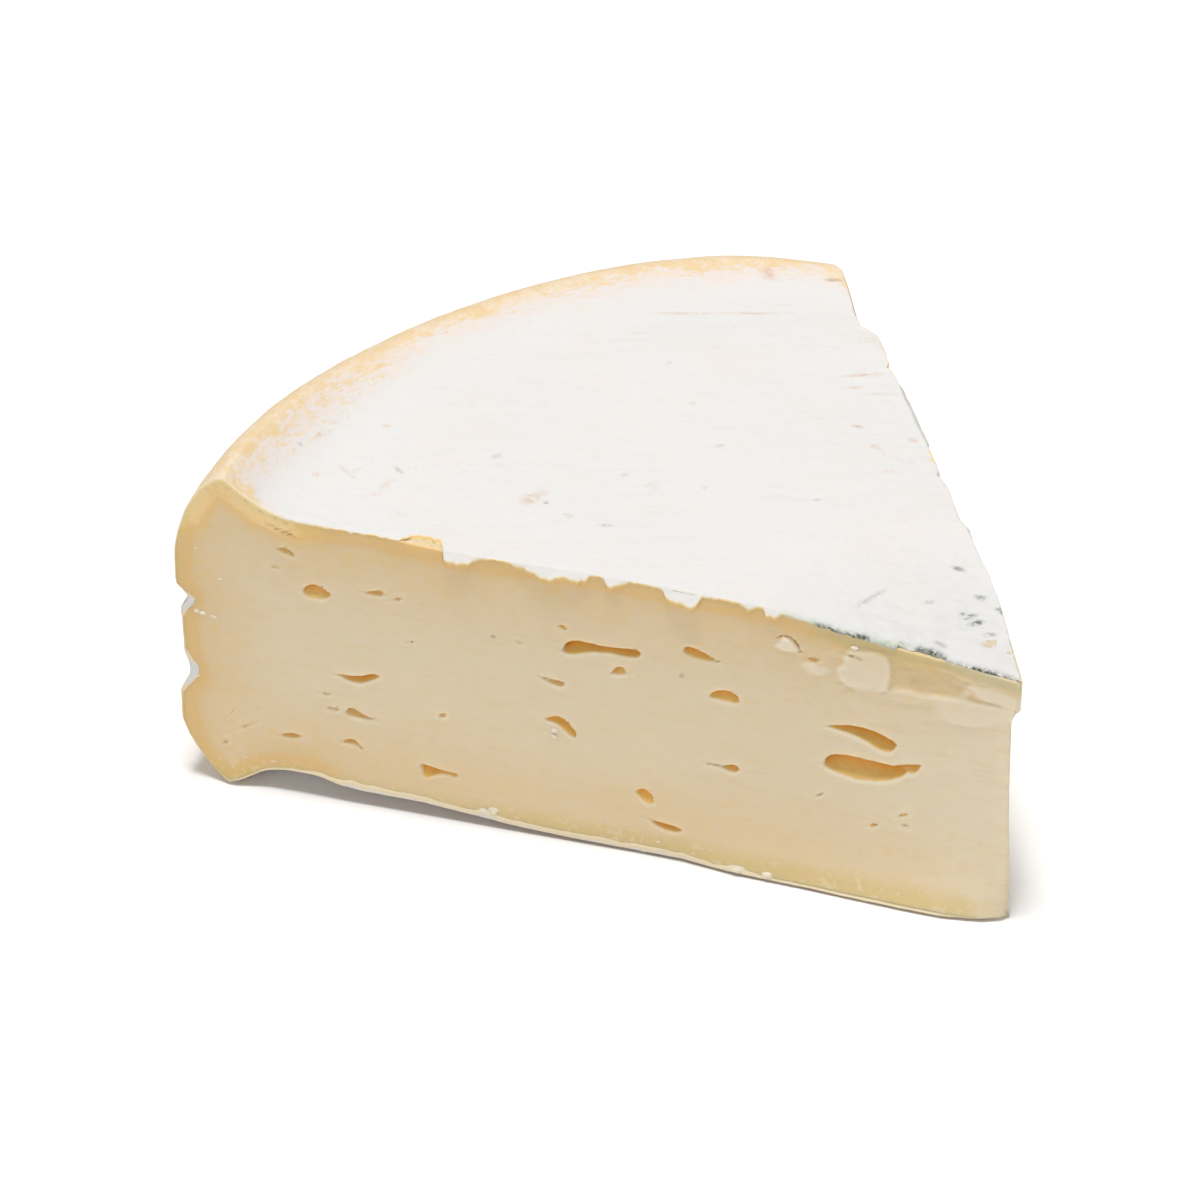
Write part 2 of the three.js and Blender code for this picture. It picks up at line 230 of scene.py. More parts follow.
def rimCurve():
    # the lip down the shoulder, the upright wall and the lower corner, in that order; shoulder and corner are
    # superellipses, |a|^p + |b|^p = 1
    w = wheel
    turn = np.linspace(math.pi / 2, 0, 60)
    power = 2 / w["shoulderPower"]
    shoulderRadius = w["radius"] - w["lipInset"] * (1 - np.cos(turn) ** power)
    shoulderHeight = w["shoulder"] + (w["lip"] - w["shoulder"]) * np.sin(turn) ** power
    wallHeight = np.linspace(w["shoulder"], w["cornerHeight"], 80)[1:]
    above = np.linspace(1, 0, 60)[1:]
    power = w["cornerPower"]
    cornerRadius = w["radius"] - w["cornerInset"] * (1 - (1 - (1 - above) ** power) ** (1 / power))
    radius = np.concatenate([shoulderRadius, 0 * wallHeight + w["radius"], cornerRadius])
    height = np.concatenate([shoulderHeight, wallHeight, w["cornerHeight"] * above])
    return radius, height


def wholeSection():
    # The section from the tip over the top, down the rim and back under the base to the tip, as radius,
    # height, outward normal and length along it, with the lengths at which the lip and the base's edge come.
    topRadius = np.linspace(0, wheel["radius"] - wheel["lipInset"], 500)
    rimRadius, rimHeight = rimCurve()
    baseRadius = np.linspace(wheel["radius"] - wheel["cornerInset"], 0, 400)[1:]
    radius = np.concatenate([topRadius, rimRadius[1:], baseRadius])
    height = np.concatenate([topHeight(topRadius), rimHeight[1:], 0 * baseRadius])
    along = np.concatenate([[0], np.cumsum(np.hypot(np.diff(radius), np.diff(height)))])
    normal = np.stack([-np.gradient(height, along), np.gradient(radius, along)], -1)
    normal /= np.linalg.norm(normal, axis=-1, keepdims=True)
    return {"radius": radius, "height": height, "normal": normal, "along": along,
            "lip": along[len(topRadius) - 1], "corner": along[len(topRadius) + len(rimRadius) - 2]}


section = wholeSection()


def sectionAt(along):
    # radius, height and outward normal of the section at lengths along it
    values = [np.interp(along, section["along"], section[key]) for key in ("radius", "height")]
    normal = [np.interp(along, section["along"], section["normal"][:, i]) for i in range(2)]
    return *values, *normal


def byRimLip(radius, height, place):
    # 1 at the rim's lip, 0 away from it: a smooth step over radius times one over height
    start, full, low, high = place
    return smooth(start, full, radius) * smooth(low, high, height)


def strip(low, high, lowAt=None, highAt=None):
    # Triangles between two runs of vertices of any two lengths. Each edge of either run makes one triangle
    # with the vertex the other run has reached by then, in order of the edges' middles.
    lowAt = np.linspace(0, 1, len(low)) if lowAt is None else lowAt
    highAt = np.linspace(0, 1, len(high)) if highAt is None else highAt
    middles = np.concatenate([(lowAt[1:] + lowAt[:-1]) / 2, (highAt[1:] + highAt[:-1]) / 2])
    order = np.argsort(middles, kind="stable")
    isLow = order < len(low) - 1
    lowDone, highDone = np.cumsum(isLow), np.cumsum(~isLow)
    low, high = np.asarray(low), np.asarray(high)
    fromLow = np.stack([low[lowDone[isLow] - 1], low[lowDone[isLow]], high[highDone[isLow]]], -1)
    fromHigh = np.stack([low[lowDone[~isLow]], high[highDone[~isLow]], high[highDone[~isLow] - 1]], -1)
    return np.concatenate([fromLow, fromHigh])


def gridFaces(index):
    # two triangles for each cell of a grid of vertex numbers, rows going up and columns to the right
    a, b, c, d = index[:-1, :-1], index[:-1, 1:], index[1:, 1:], index[1:, :-1]
    return np.concatenate([np.stack([a, b, c], -1).reshape(-1, 3), np.stack([a, c, d], -1).reshape(-1, 3)])


def makePiece(name, points, faces, attributes, material):
    # points in millimetres from the tip, triangles, one number for each vertex in every attribute
    mesh = bpy.data.meshes.new(name)
    mesh.vertices.add(len(points))
    mesh.vertices.foreach_set("co", toFrame(slumped(points)).astype(np.float32).ravel())
    mesh.loops.add(faces.size)
    mesh.loops.foreach_set("vertex_index", faces.astype(np.int32).ravel())
    mesh.polygons.add(len(faces))
    mesh.polygons.foreach_set("loop_start", np.arange(0, faces.size, 3, dtype=np.int32))
    mesh.polygons.foreach_set("use_smooth", np.ones(len(faces), bool))
    for key, values in attributes.items():
        mesh.attributes.new(key, "FLOAT", "POINT").data.foreach_set("value", values.astype(np.float32))
    mesh.update(calc_edges=True)
    mesh.materials.append(material)
    piece = bpy.data.objects.new(name, mesh)
    bpy.context.scene.collection.objects.link(piece)
    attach(piece, "root")
    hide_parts("cheese_wedge")
    print(f"{name}: {len(points)} vertices, {len(faces)} triangles")
    return piece


class Wire:
    # an output socket that can stand in a Python expression; each operation on it adds a Math node
    def __init__(self, finish, socket):
        self.finish, self.socket = finish, socket

    def __add__(self, other):
        return self.finish.maths("ADD", self, other)

    def __sub__(self, other):
        return self.finish.maths("SUBTRACT", self, other)

    def __rsub__(self, other):
        return self.finish.maths("SUBTRACT", other, self)

    def __mul__(self, other):
        return self.finish.maths("MULTIPLY", self, other)

    def __truediv__(self, other):
        return self.finish.maths("DIVIDE", self, other)

    def __rtruediv__(self, other):
        return self.finish.maths("DIVIDE", other, self)

    def __pow__(self, other):
        return self.finish.maths("POWER", self, other)

    __radd__ = __add__
    __rmul__ = __mul__


class Finish:
    # one material and the nodes that it is made of
    def __init__(self, name, **constants):
        self.material = bpy.data.materials.new(name)
        self.material.use_nodes = True
        self.nodes, self.links = self.material.node_tree.nodes, self.material.node_tree.links
        self.shader = self.nodes["Principled BSDF"]
        self.constants(self.shader, constants)
        coordinates = self.node("ShaderNodeTexCoord", output="Object")
        toMillimetres = {0: coordinates, "Scale": 1000}
        self.place = self.node("ShaderNodeVectorMath", {"operation": "SCALE"}, toMillimetres)

    def constants(self, shader, values):
        # sockets that stay the same all over the surface, a low line standing for each space in a name
        for key, value in values.items():
            shader.inputs[key.replace("_", " ")].default_value = value

    def feed(self, socket, value):
        # a link from a wire, or the value itself
        if isinstance(value, Wire):
            self.links.new(value.socket, socket)
        else:
            socket.default_value = value

    def node(self, kind, settings=None, inputs=None, output=0):
        # any node: its settings first, then the values or links of its sockets
        made = self.nodes.new(kind)
        for key, value in (settings or {}).items():
            setattr(made, key, value)
        for key, value in (inputs or {}).items():
            self.feed(made.inputs[key], value)
        return Wire(self, made.outputs[output])

    def maths(self, operation, *values):
        # a Math node over wires and numbers
        return self.node("ShaderNodeMath", {"operation": operation}, dict(enumerate(values)))

    def attribute(self, name):
        # one of the numbers that the piece has at each vertex
        return self.node("ShaderNodeAttribute", {"attribute_name": name}, output="Fac")

    def noise(self, size, detail=2, roughness=0.5, stretch=None, turn=0.0, shift=0.0, place=None):
        # noise from 0 to 1 with lumps of the size in millimetres; stretch and turn make it run one way
        place = place or self.place
        if stretch:
            values = {"Vector": place, "Rotation": (0, 0, turn), "Scale": stretch}
            place = self.node("ShaderNodeMapping", {"vector_type": "TEXTURE"}, values)
        if shift:
            place = self.node("ShaderNodeVectorMath", {"operation": "ADD"}, {0: place, 1: (shift,) * 3})
        values = {"Vector": place, "Scale": 1 / size, "Detail": detail, "Roughness": roughness}
        return self.node("ShaderNodeTexNoise", {}, values, "Fac")

    def rise(self, value, low, high, bottom=0.0, top=1.0):
        # smooth step of a value from bottom at low to top at high
        values = {"Value": value, "From Min": low, "From Max": high, "To Min": bottom, "To Max": top}
        return self.node("ShaderNodeMapRange", {"interpolation_type": "SMOOTHSTEP"}, values)

    def mix(self, share, first, second):
        # first colour where share is 0, second where it is 1
        return self.node("ShaderNodeMix", {"data_type": "RGBA"}, {0: share, 6: first, 7: second}, 2)

    def bump(self, height, distance):
        # a relief whose full height is the distance in millimetres
        values = {"Height": height, "Distance": distance * 0.001, "Strength": 1.0}
        self.relief = self.node("ShaderNodeBump", {}, values)
        self.set(Normal=self.relief)

    def second(self, share, base, **constants):
        # another plain shader, mixed in by share
        shader = self.nodes.new("ShaderNodeBsdfPrincipled")
        self.constants(shader, constants)
        self.feed(shader.inputs["Base Color"], base)
        self.feed(shader.inputs["Normal"], self.relief)
        first, second = (Wire(self, made.outputs[0]) for made in (self.shader, shader))
        mixed = self.node("ShaderNodeMixShader", {}, {0: share, 1: first, 2: second})
        self.links.new(mixed.socket, self.nodes["Material Output"].inputs["Surface"])

    def set(self, **wires):
        # what changes over the surface
        for key, wire in wires.items():
            self.feed(self.shader.inputs[key.replace("_", " ")], wire)


def colour(red, green, blue):
    # screen values from 0 to 255 as the linear colour a shader takes
    linear = [((c / 255 + 0.055) / 1.055) ** 2.4 if c > 10 else c / 3294 for c in (red, green, blue)]
    return (*linear, 1.0)


paste = {
    "inset": 0.3, "insetAtTip": 0.05, "insetOver": 10, "under": 0.5, "tipInset": 0.5, "least": 0.05,
    "columns": 400, "rows": 156, "backColumns": 250, "backRows": 100,
    "ringSteps": (0.75, 1.1, 1.6, 2.3, 3.4, 5.5, 9), "farRings": 7, "farShares": (0.12, 0.76),
    "ringCounts": (160, 70, 160), "tipCount": 36, "evenWithin": 30, "leastRadius": 0.9,
    "hidden": {"border": 9.0, "shade": 1.0, "ochre": 0.45, "pale": 0.5},  # tones of the sides under the rind
    "eyeDepth": (0.4, 0.2, 2.4),  # least, for each millimetre of length, most
    "rimLip": (92, 101, 36, 42), "greyPoints": ((71.4, 30.8), (45.4, 29.6)), "greyWidth": 0.24,
    "ivory": colour(222, 206, 176), "ivoryPale": colour(228, 215, 189), "ochre": colour(218, 188, 138),
    # the eyes' colours: a painted glow of light through the paste, pale where painted light reaches the
    # floor, and painted shade under the roof
    "amberGlow": colour(228, 160, 42), "amberGlowPale": colour(232, 192, 106), "roof": colour(178, 112, 20),
    "flake": colour(233, 223, 203), "golden": colour(218, 192, 142), "olive": colour(190, 181, 134),
    "grey": colour(124, 104, 74), "ripe": colour(224, 192, 124), "band": colour(222, 184, 120),
    # the last two: ochre under the rim's lip, its own colour lightened by painted light where the paste rolls
    # up
    "yellowed": colour(210, 184, 112), "lip": colour(230, 192, 122), "lipPale": colour(236, 206, 150),
    "throughLight": 0.5, "throughDepth": 0.0018, "throughColour": (1.0, 0.7, 0.35), "gloss": 0.35,
    "relief": 0.07,
}

# Eyes of the first cut: left end and right end as distance from the tip and height, how far the roof rises
# over the line between them and the floor sinks under it at a quarter, half and three quarters, and how
# strong the eye's amber is, a painted glow of light through the paste.
firstCutEyes = (
    ((25.6, 25.5), (16.3, 24.3), (0.9, 1.3, 1.1), (0.15, 0.6, 1.4), 1.0),
    ((25.9, 19.4), (14.8, 20.2), (1.8, 1.45, 1.05), (1.5, 1.95, 1.7), 1.0),
    ((16.6, 20.7), (12.9, 21.8), (0.3, 0.25, 0.15), (0.4, 0.95, 1.3), 0.7),
    ((28.6, 35.3), (26.7, 35.6), (0.25, 0.3, 0.2), (0.2, 0.3, 0.2), 0.8),
    ((32.8, 37.7), (29.4, 36.4), (1.1, 1.5, 1.3), (-0.8, -1.15, -0.7), 0.8),
    ((19.3, 10.9), (18.4, 11.1), (0.25, 0.25, 0.25), (0.25, 0.25, 0.25), 0.9),
    ((15.7, 13.1), (14.4, 13.6), (0.2, 0.2, 0.2), (0.15, 0.15, 0.15), 0.8),
    ((15.0, 11.8), (13.9, 11.6), (0.15, 0.15, 0.15), (0.15, 0.15, 0.15), 0.5),
    ((26.7, 14.0), (25.7, 14.8), (0.1, 0.1, 0.1), (0.1, 0.1, 0.1), 0.35),
    ((61.7, 30.4), (51.0, 31.9), (1.6, 1.05, 0.8), (0.35, 0.05, 0.4), 1.3),
    ((55.8, 28.0), (52.3, 28.6), (0.3, 1.1, 0.45), (0.1, 0.3, 0.1), 0.6),
    ((45.2, 33.8), (40.3, 32.9), (0.75, 0.6, 0.2), (0.8, 0.7, 0.5), 1.0),
    ((41.6, 27.2), (37.6, 27.0), (0.95, 1.3, 1.25), (0.3, 0.35, 0.45), 1.0),
    ((42.0, 16.2), (37.5, 16.1), (0.1, 0.2, 0.55), (0.05, 0.15, 0.5), 0.7),
    ((51.6, 9.6), (49.1, 8.6), (0.95, 1.3, 1.15), (0.45, 0.8, 0.75), 1.0),
    ((50.8, 5.8), (45.2, 4.7), (0.15, 0.2, 0.3), (0.2, 0.75, 0.75), 0.8),
    ((62.4, 34.2), (61.2, 34.0), (0.3, 0.35, 0.25), (0.2, 0.4, 0.4), 0.8),
    ((65.5, 25.8), (61.6, 25.1), (0.1, 0.15, 0.25), (0.25, 0.45, 0.65), 0.5),
    ((64.3, 19.2), (59.9, 17.4), (0.85, 1.4, 1.05), (0.15, 0.2, 0.75), 1.3),
    ((81.9, 8.1), (76.7, 7.4), (0.15, 0.1, 0.15), (1.7, 0.75, 0.45), 0.8),
    ((79.2, 16.6), (78.2, 16.9), (0.35, 0.35, 0.35), (0.4, 0.4, 0.4), 0.45),
    ((83.5, 27.7), (82.2, 27.9), (0.1, 0.1, 0.1), (0.1, 0.1, 0.1), 0.35),
    ((68.5, 30.8), (67.3, 30.4), (0.15, 0.15, 0.15), (0.15, 0.15, 0.15), 0.45),
    ((85.3, 34.1), (83.9, 34.5), (0.2, 0.25, 0.2), (0.1, 0.2, 0.1), 0.5),
    ((98.0, 33.1), (94.1, 33.3), (1.1, 1.2, 0.75), (0.9, 0.95, 0.85), 0.65),
    ((89.9, 34.5), (86.6, 34.7), (0.2, 0.35, 0.55), (0.15, 0.2, 0.3), 0.55),
    ((93.8, 20.4), (87.6, 21.2), (0.1, 0.0, 0.35), (0.6, 1.15, 0.8), 0.75),
    ((96.2, 17.0), (94.5, 17.2), (0.1, 0.1, 0.1), (0.2, 0.2, 0.2), 0.3),
    ((95.2, 14.9), (93.4, 15.0), (0.2, 0.2, 0.2), (0.3, 0.3, 0.3), 0.35),
    ((92.3, 14.6), (87.9, 14.0), (0.9, 0.5, 0.2), (0.45, 0.3, 0.15), 0.55),
    ((93.8, 9.9), (89.7, 8.8), (0.35, 1.0, 0.6), (0.1, -0.2, -0.1), 0.55),
    ((102.4, 8.9), (98.6, 9.4), (0.35, 0.5, 0.3), (0.2, 0.35, 0.2), 0.55),
    ((108.1, 9.0), (105.2, 10.5), (0.2, 0.15, 0.1), (0.1, 0.1, 0.05), 0.7),
    ((109.4, 10.8), (108.5, 12.0), (0.2, 0.2, 0.2), (0.2, 0.2, 0.2), 0.9),
    ((110.3, 6.3), (109.8, 6.5), (0.25, 0.25, 0.25), (0.25, 0.25, 0.25), 0.4),
    ((101.6, 39.3), (98.8, 38.3), (0.35, 0.65, 0.5), (0.2, 0.25, 0.2), 0.5),
    ((102.3, 36.2), (101.3, 36.2), (0.25, 0.25, 0.25), (0.25, 0.25, 0.25), 0.35),
    ((102.8, 42.9), (98.5, 41.3), (0.05, 0.1, 0.1), (0.15, 0.2, 0.15), 0.5),
    ((24.0, 37.2), (21.2, 36.8), (0.1, 0.15, 0.1), (0.1, 0.1, 0.1), 0.4),
)

# Plates of paste torn from the rind beside the tip: corners as distance from the tip and height, how far
# each stands out, and how pale it is (golden below 0).
tornPlates = (
    (((24.7, 34.8), (22.6, 38), (17.4, 38.2), (17, 36), (17.1, 32.6), (19, 31.9), (23, 32), (24.3, 33.2)),
     0.3, 0.8),
    (((17.1, 37.9), (9, 36.9), (6.8, 35.6), (8.5, 33.4), (12, 33.1), (17.1, 33.2)), -0.4, -0.8),
    (((17.6, 33.1), (12, 33.2), (8.3, 33.5), (8, 32.5), (12, 31.9), (17.4, 31.7)), 0.2, 0.6),
    (((7.6, 35.5), (3.8, 35.2), (0.2, 34.6), (0.2, 33.2), (1.6, 32.5), (5, 33.4)), 0.25, 0.7),
    # a golden strip under the flake above, sunk a little: painted shadow of that flake
    (((6.8, 34), (1.5, 32.8), (1, 31.9), (6.8, 33.1)), -0.25, -0.8),
    (((12.8, 31.9), (11, 30.5), (8.8, 29.3), (5.5, 29.4), (0.6, 30.9), (0.2, 32.6), (8, 33.2), (12, 32.7)),
     0.25, 0.5),
    (((24, 30.5), (20.2, 27), (13, 28.6), (10, 29.9), (12, 32.5), (22, 32.5)), 0.1, 0.15),
    (((33, 37.2), (31.8, 38.2), (30.2, 38.1), (29.2, 37), (30, 36.2), (32, 36.3)), 0.25, 1.0),
    (((29.6, 34.3), (28.5, 35), (26.3, 35), (25.4, 34.2), (26.3, 33.2), (28.6, 33.2)), 0.15, 0.7),
)

# how far the worn edge of the tip lies back, by height
tipLean = (
    (0, 0.1), (2, 0.05), (5, 0), (10, 0.22), (15, 0.5), (20, 0.65), (30, 0.8), (31.5, 0.75), (32.6, 0.1),
    (40, 0),
)


strewn = {"seed": 11, "count": 28, "start": 11, "step": 3.3, "apart": 2, "heights": (6, 36),
          "shortest": 1.2, "longer": 8.5, "fewLong": 1.8, "slope": (-0.15, 0.2),
          # the range of how strong each eye's painted amber glow is
          "roof": (0.16, 0.11), "floor": (0.14, 0.1), "amberGlow": (0.5, 1.1)}


def secondCutEyes():
    # eyes of the same kinds strewn over the second cut, in uneven rows
    w = strewn
    rng = np.random.default_rng(w["seed"])
    made = []
    for i in range(w["count"]):
        length = w["shortest"] + w["longer"] * rng.uniform(0.1, 1) ** w["fewLong"]
        left = w["start"] + w["step"] * i + rng.uniform(-w["apart"], w["apart"])
        up = rng.uniform(*w["heights"])
        rise = length * rng.uniform(*w["slope"])
        roofs = (w["roof"][0] + w["roof"][1] * length) * rng.uniform(0.4, 1.2, 3)
        floors = (w["floor"][0] + w["floor"][1] * length) * rng.uniform(0.3, 1.2, 3)
        made.append(((left, up), (left - length, up + rise), roofs, floors, rng.uniform(*w["amberGlow"])))
    return made


def sineArcs(t, quarter, half, threeQuarters):
    # a sin(u) + b sin(2u) + c sin(3u) with cos(u) = 1 - 2t: an arch with round ends at t = 0 and 1 that
    # passes through the three given heights
    turn = np.arccos(1 - 2 * np.clip(t, 0, 1))
    first, second = (quarter + threeQuarters) / math.sqrt(3), (quarter - threeQuarters) / math.sqrt(3)
    return first * np.sin(turn) + second * np.sin(2 * turn) + (first - half) * np.sin(3 * turn)


def openEyes(fromTip, height, eyes, cell):
    # Eyes as hollows in a face, deepest under the roof. Returns the heights with the nearest grid row pulled
    # onto each roof line, the depth, the distance to the eye's border (negative inside), the place between
    # roof (0) and floor (1), which sets the painted shade from the roof down, and how strong the eye's
    # painted amber glow is.
    depth, border = np.zeros_like(height), np.full_like(height, 9.0)
    shade, tint = np.ones_like(height), np.zeros_like(height)
    newHeight = height.copy()
    least, perLength, most = paste["eyeDepth"]
    for (leftAt, leftUp), (rightAt, rightUp), roofs, floors, strength in eyes:
        length = leftAt - rightAt
        t = (leftAt - fromTip) / length
        above = height - leftUp - (rightUp - leftUp) * t
        inside = (t > 0) & (t < 1)
        wobble = 0.07 * noise(np.stack([fromTip, height, 0 * height + leftAt], -1), 0.9, 31, 2) * inside
        roof, floor = sineArcs(t, *roofs) + wobble, -sineArcs(t, *floors) + 2 * wobble
        pull = inside & (np.abs(above - roof) < 0.55 * cell)
        newHeight = np.where(pull, height + roof - above, newHeight)
        above = np.where(pull, roof, above)
        thickness = np.maximum(roof - floor, 0.05)
        down = np.clip((roof - above) / thickness, 0, 1)
        deepest = min(most, least + perLength * length)
        full = 0.7 * (max(roofs) + max(floors))
        reach = np.clip(thickness / full, 0, 1) ** 0.6
        hollow = inside & (above < roof - 1e-6) & (above > floor)
        depth = np.maximum(depth, np.where(hollow, deepest * reach * (1 - down) ** 0.8, 0))
        gap = np.maximum(np.maximum(above - roof, floor - above), (np.abs(t - 0.5) - 0.5) * length)
        nearer = gap < border
        border = np.where(nearer, gap, border)
        shade, tint = np.where(nearer, down, shade), np.where(nearer, strength, tint)
    return newHeight, depth, border, shade, tint


def cutBoundary(angle):
    # The paste's outline in a cut face, inset under the rind, as four runs of (distance from tip, height):
    # base, rim, top and tip. The tip run is straight.
    def run(start, end, count):
        # places between two lengths along the section, moved in by the inset
        along = np.linspace(start, end, count)
        radius, height, outward, upward = sectionAt(along)
        place = settle(radius, np.full_like(radius, angle), height)
        plane = place[:, :2] @ (alongSecond if angle > 0.5 else np.array([-1, 0]))
        return np.stack([plane - outward * paste["under"], place[:, 2] - upward * paste["under"]], -1)

    end = section["along"][-1]
    base = run(end - paste["tipInset"], section["corner"], 500)
    rim = run(section["corner"], section["lip"], 400)
    top = run(section["lip"], paste["tipInset"], 500)
    return base, rim, top, np.stack([top[-1], base[0]])


def evenly(run, count):
    # a run of points laid out again at equal steps along it
    lengths = np.concatenate([[0], np.cumsum(np.linalg.norm(np.diff(run, axis=0), axis=1))])
    at = np.linspace(0, lengths[-1], count)
    return np.stack([np.interp(at, lengths, run[:, i]) for i in range(2)], -1)


def spanned(boundary, columns, rows):
    # Coons patch: the two ruled surfaces between opposite runs, less the bilinear one of the corners
    base, rim, top, tipRun = boundary
    low, high = evenly(base, columns + 1)[None], evenly(top, columns + 1)[::-1][None]
    near, far = evenly(tipRun, rows + 1)[::-1][:, None], evenly(rim, rows + 1)[:, None]
    u = np.linspace(0, 1, columns + 1)[None, :, None]
    v = np.linspace(0, 1, rows + 1)[:, None, None]
    lowCorners = (1 - u) * low[:, :1] + u * low[:, -1:]
    highCorners = (1 - u) * high[:, :1] + u * high[:, -1:]
    corners = (1 - v) * lowCorners + v * highCorners
    return (1 - v) * low + v * high + (1 - u) * near + u * far - corners


def distanceToRind(points, boundary):
    # shortest distance from each point of a face to its outline under the rind
    outline = np.concatenate(boundary[:3])[::3]
    flat = points.reshape(-1, 2)
    parts = np.array_split(flat, 60)
    nearest = [np.sqrt(((part[:, None] - outline[None]) ** 2).sum(-1)).min(1) for part in parts]
    return np.concatenate(nearest).reshape(points.shape[:-1])


def pasteInset(fromTip):
    # how far the paste lies behind the knife plane: almost nothing at the tip, so that it stays sharp
    more = paste["inset"] - paste["insetAtTip"]
    return paste["insetAtTip"] + more * smooth(0, paste["insetOver"], fromTip)


def knifeRelief(fromTip, height, seed):
    # broad waves of the blade, fine drag lines nearly along the cut, and grain
    level = np.stack([fromTip, height + fromTip * 0.05, 0 * height + seed], -1)
    slanted = np.stack([fromTip, height + fromTip * 0.28, 0 * height + seed], -1)
    relief = 0.09 * noise(level, 22, seed, 2) + 0.03 * noise(level, (18, 0.9, 1), seed + 3, 2)
    relief = relief + 0.03 * noise(slanted, (15, 1.1, 1), seed + 7, 2) * smooth(70, 30, fromTip)
    return relief + 0.03 * noise(level, 1.2, seed + 5, 2)


def insideOf(fromTip, height, corners):
    # how far each point lies inside a convex outline: the least of its distances to the lines of the edges
    start = np.array(corners, float)
    step = np.roll(start, -1, axis=0) - start
    area = (start[:, 0] * np.roll(start[:, 1], -1) - np.roll(start[:, 0], -1) * start[:, 1]).sum()
    inside = np.full_like(height, 9.0)
    for (x, z), (dx, dz) in zip(start, step):
        side = (dx * (height - z) - dz * (fromTip - x)) / math.hypot(dx, dz)
        inside = np.minimum(inside, side * np.sign(area))
    return inside


def tornRelief(fromTip, height):
    # The torn plates, each raised or sunk with a short ragged edge, over a rough ground near the rind.
    # Returns the relief and how pale and how golden each point is; the pale holds a painted highlight along
    # the plates' edges, and the golden a painted shadow under the flake by the tip.
    place = np.stack([fromTip, height * 1.5 + fromTip * 0.25, 0 * height], -1)
    ragged = 0.3 * noise(place, 1.8, 61, 2) + 0.12 * noise(place, 0.6, 63, 2)
    atSide, atHeight = fromTip + 0.7 * noise(place, 3, 69, 2), height + 0.45 * noise(place, 3, 70, 2)
    ground = smooth(33, 25, fromTip) * smooth(29.5, 31, height + ragged)
    relief = ground * (0.2 * noise(place, 3.5, 65, 2) + 0.1 * noise(place, 0.9, 67, 2))
    pale = 0.25 * ground * noise(place, 2.6, 68, 2)
    for corners, out, tone in tornPlates:
        inside = insideOf(atSide, atHeight, corners) + ragged
        share = smooth(-0.3, 0.35, inside)
        relief = relief + out * share * (0.65 + 0.35 * smooth(0, 1.6, inside))
        # each plate's tone is strongest near its edge, a painted highlight along the pale raised plates'
        # edges
        pale = pale + (tone * (0.7 + 0.3 * smooth(1.4, 0.2, inside)) - pale) * share
    return relief, np.maximum(pale, 0), np.maximum(-pale, 0)


def leanBack(fromTip, height, outward, secondCut):
    # The tip's worn edge: the first cut is shortened by the lean, and the second is taken in by it and by
    # what the blade's wave adds there.
    lean = np.interp(height, *zip(*tipLean))
    if not secondCut:
        return fromTip + lean * smooth(12, 0, fromTip), outward
    taken = lean + 0.27 * smooth(0, 2, height) * smooth(33, 31.5, height)
    return fromTip + 0.52 * taken * smooth(12, 0, fromTip), outward - taken * smooth(18, 0, fromTip)


def facePoints(fromTip, height, outward, secondCut):
    # places of a cut face from how far each point stands out of the knife plane
    if secondCut:
        out = outward - pasteInset(fromTip) + secondCutWave(fromTip)
        flat = fromTip[..., None] * alongSecond + out[..., None] * outSecond
        return np.concatenate([flat, height[..., None]], -1)
    return np.stack([-fromTip, pasteInset(fromTip) - outward, height], -1)


def cutFace(secondCut, columns, rows):
    # one cut face: its grid of places and what the shader reads there
    boundary = cutBoundary(wheel["cutAngle"] if secondCut else 0.0)
    plane = spanned(boundary, columns, rows)
    fromTip, height = plane[..., 0], plane[..., 1]
    inner = smooth(0, 1.2, distanceToRind(plane, boundary))
    cell = boundary[2][0, 1] / rows
    eyes = secondCutEyes() if secondCut else firstCutEyes
    height, depth, border, shade, tint = openEyes(fromTip, height, eyes, cell)
    outward = knifeRelief(fromTip, height, 71 if secondCut else 41)
    outward = outward + 0.1 * bell(border, 0.4, 0.5) * smooth(0, 0.4, border)
    flake = golden = 0 * height
    if not secondCut:
        relief, flake, golden = tornRelief(fromTip, height)
        outward = outward + relief * (border > 0)
    outward = np.minimum(outward, pasteInset(fromTip) - paste["least"])
    outward = (outward - depth) * inner
    skin = distanceToRind(np.stack([fromTip, height], -1), boundary)
    values = {"border": border, "shade": shade, "amberGlow": tint, "flake": flake, "golden": golden,
              "low": smooth(7, 1, height) * smooth(1, 6, fromTip)}
    values.update(pasteTones(fromTip, height, skin, secondCut))
    fromTip, outward = leanBack(fromTip, height, outward, secondCut)
    return facePoints(fromTip, height, outward, secondCut), values


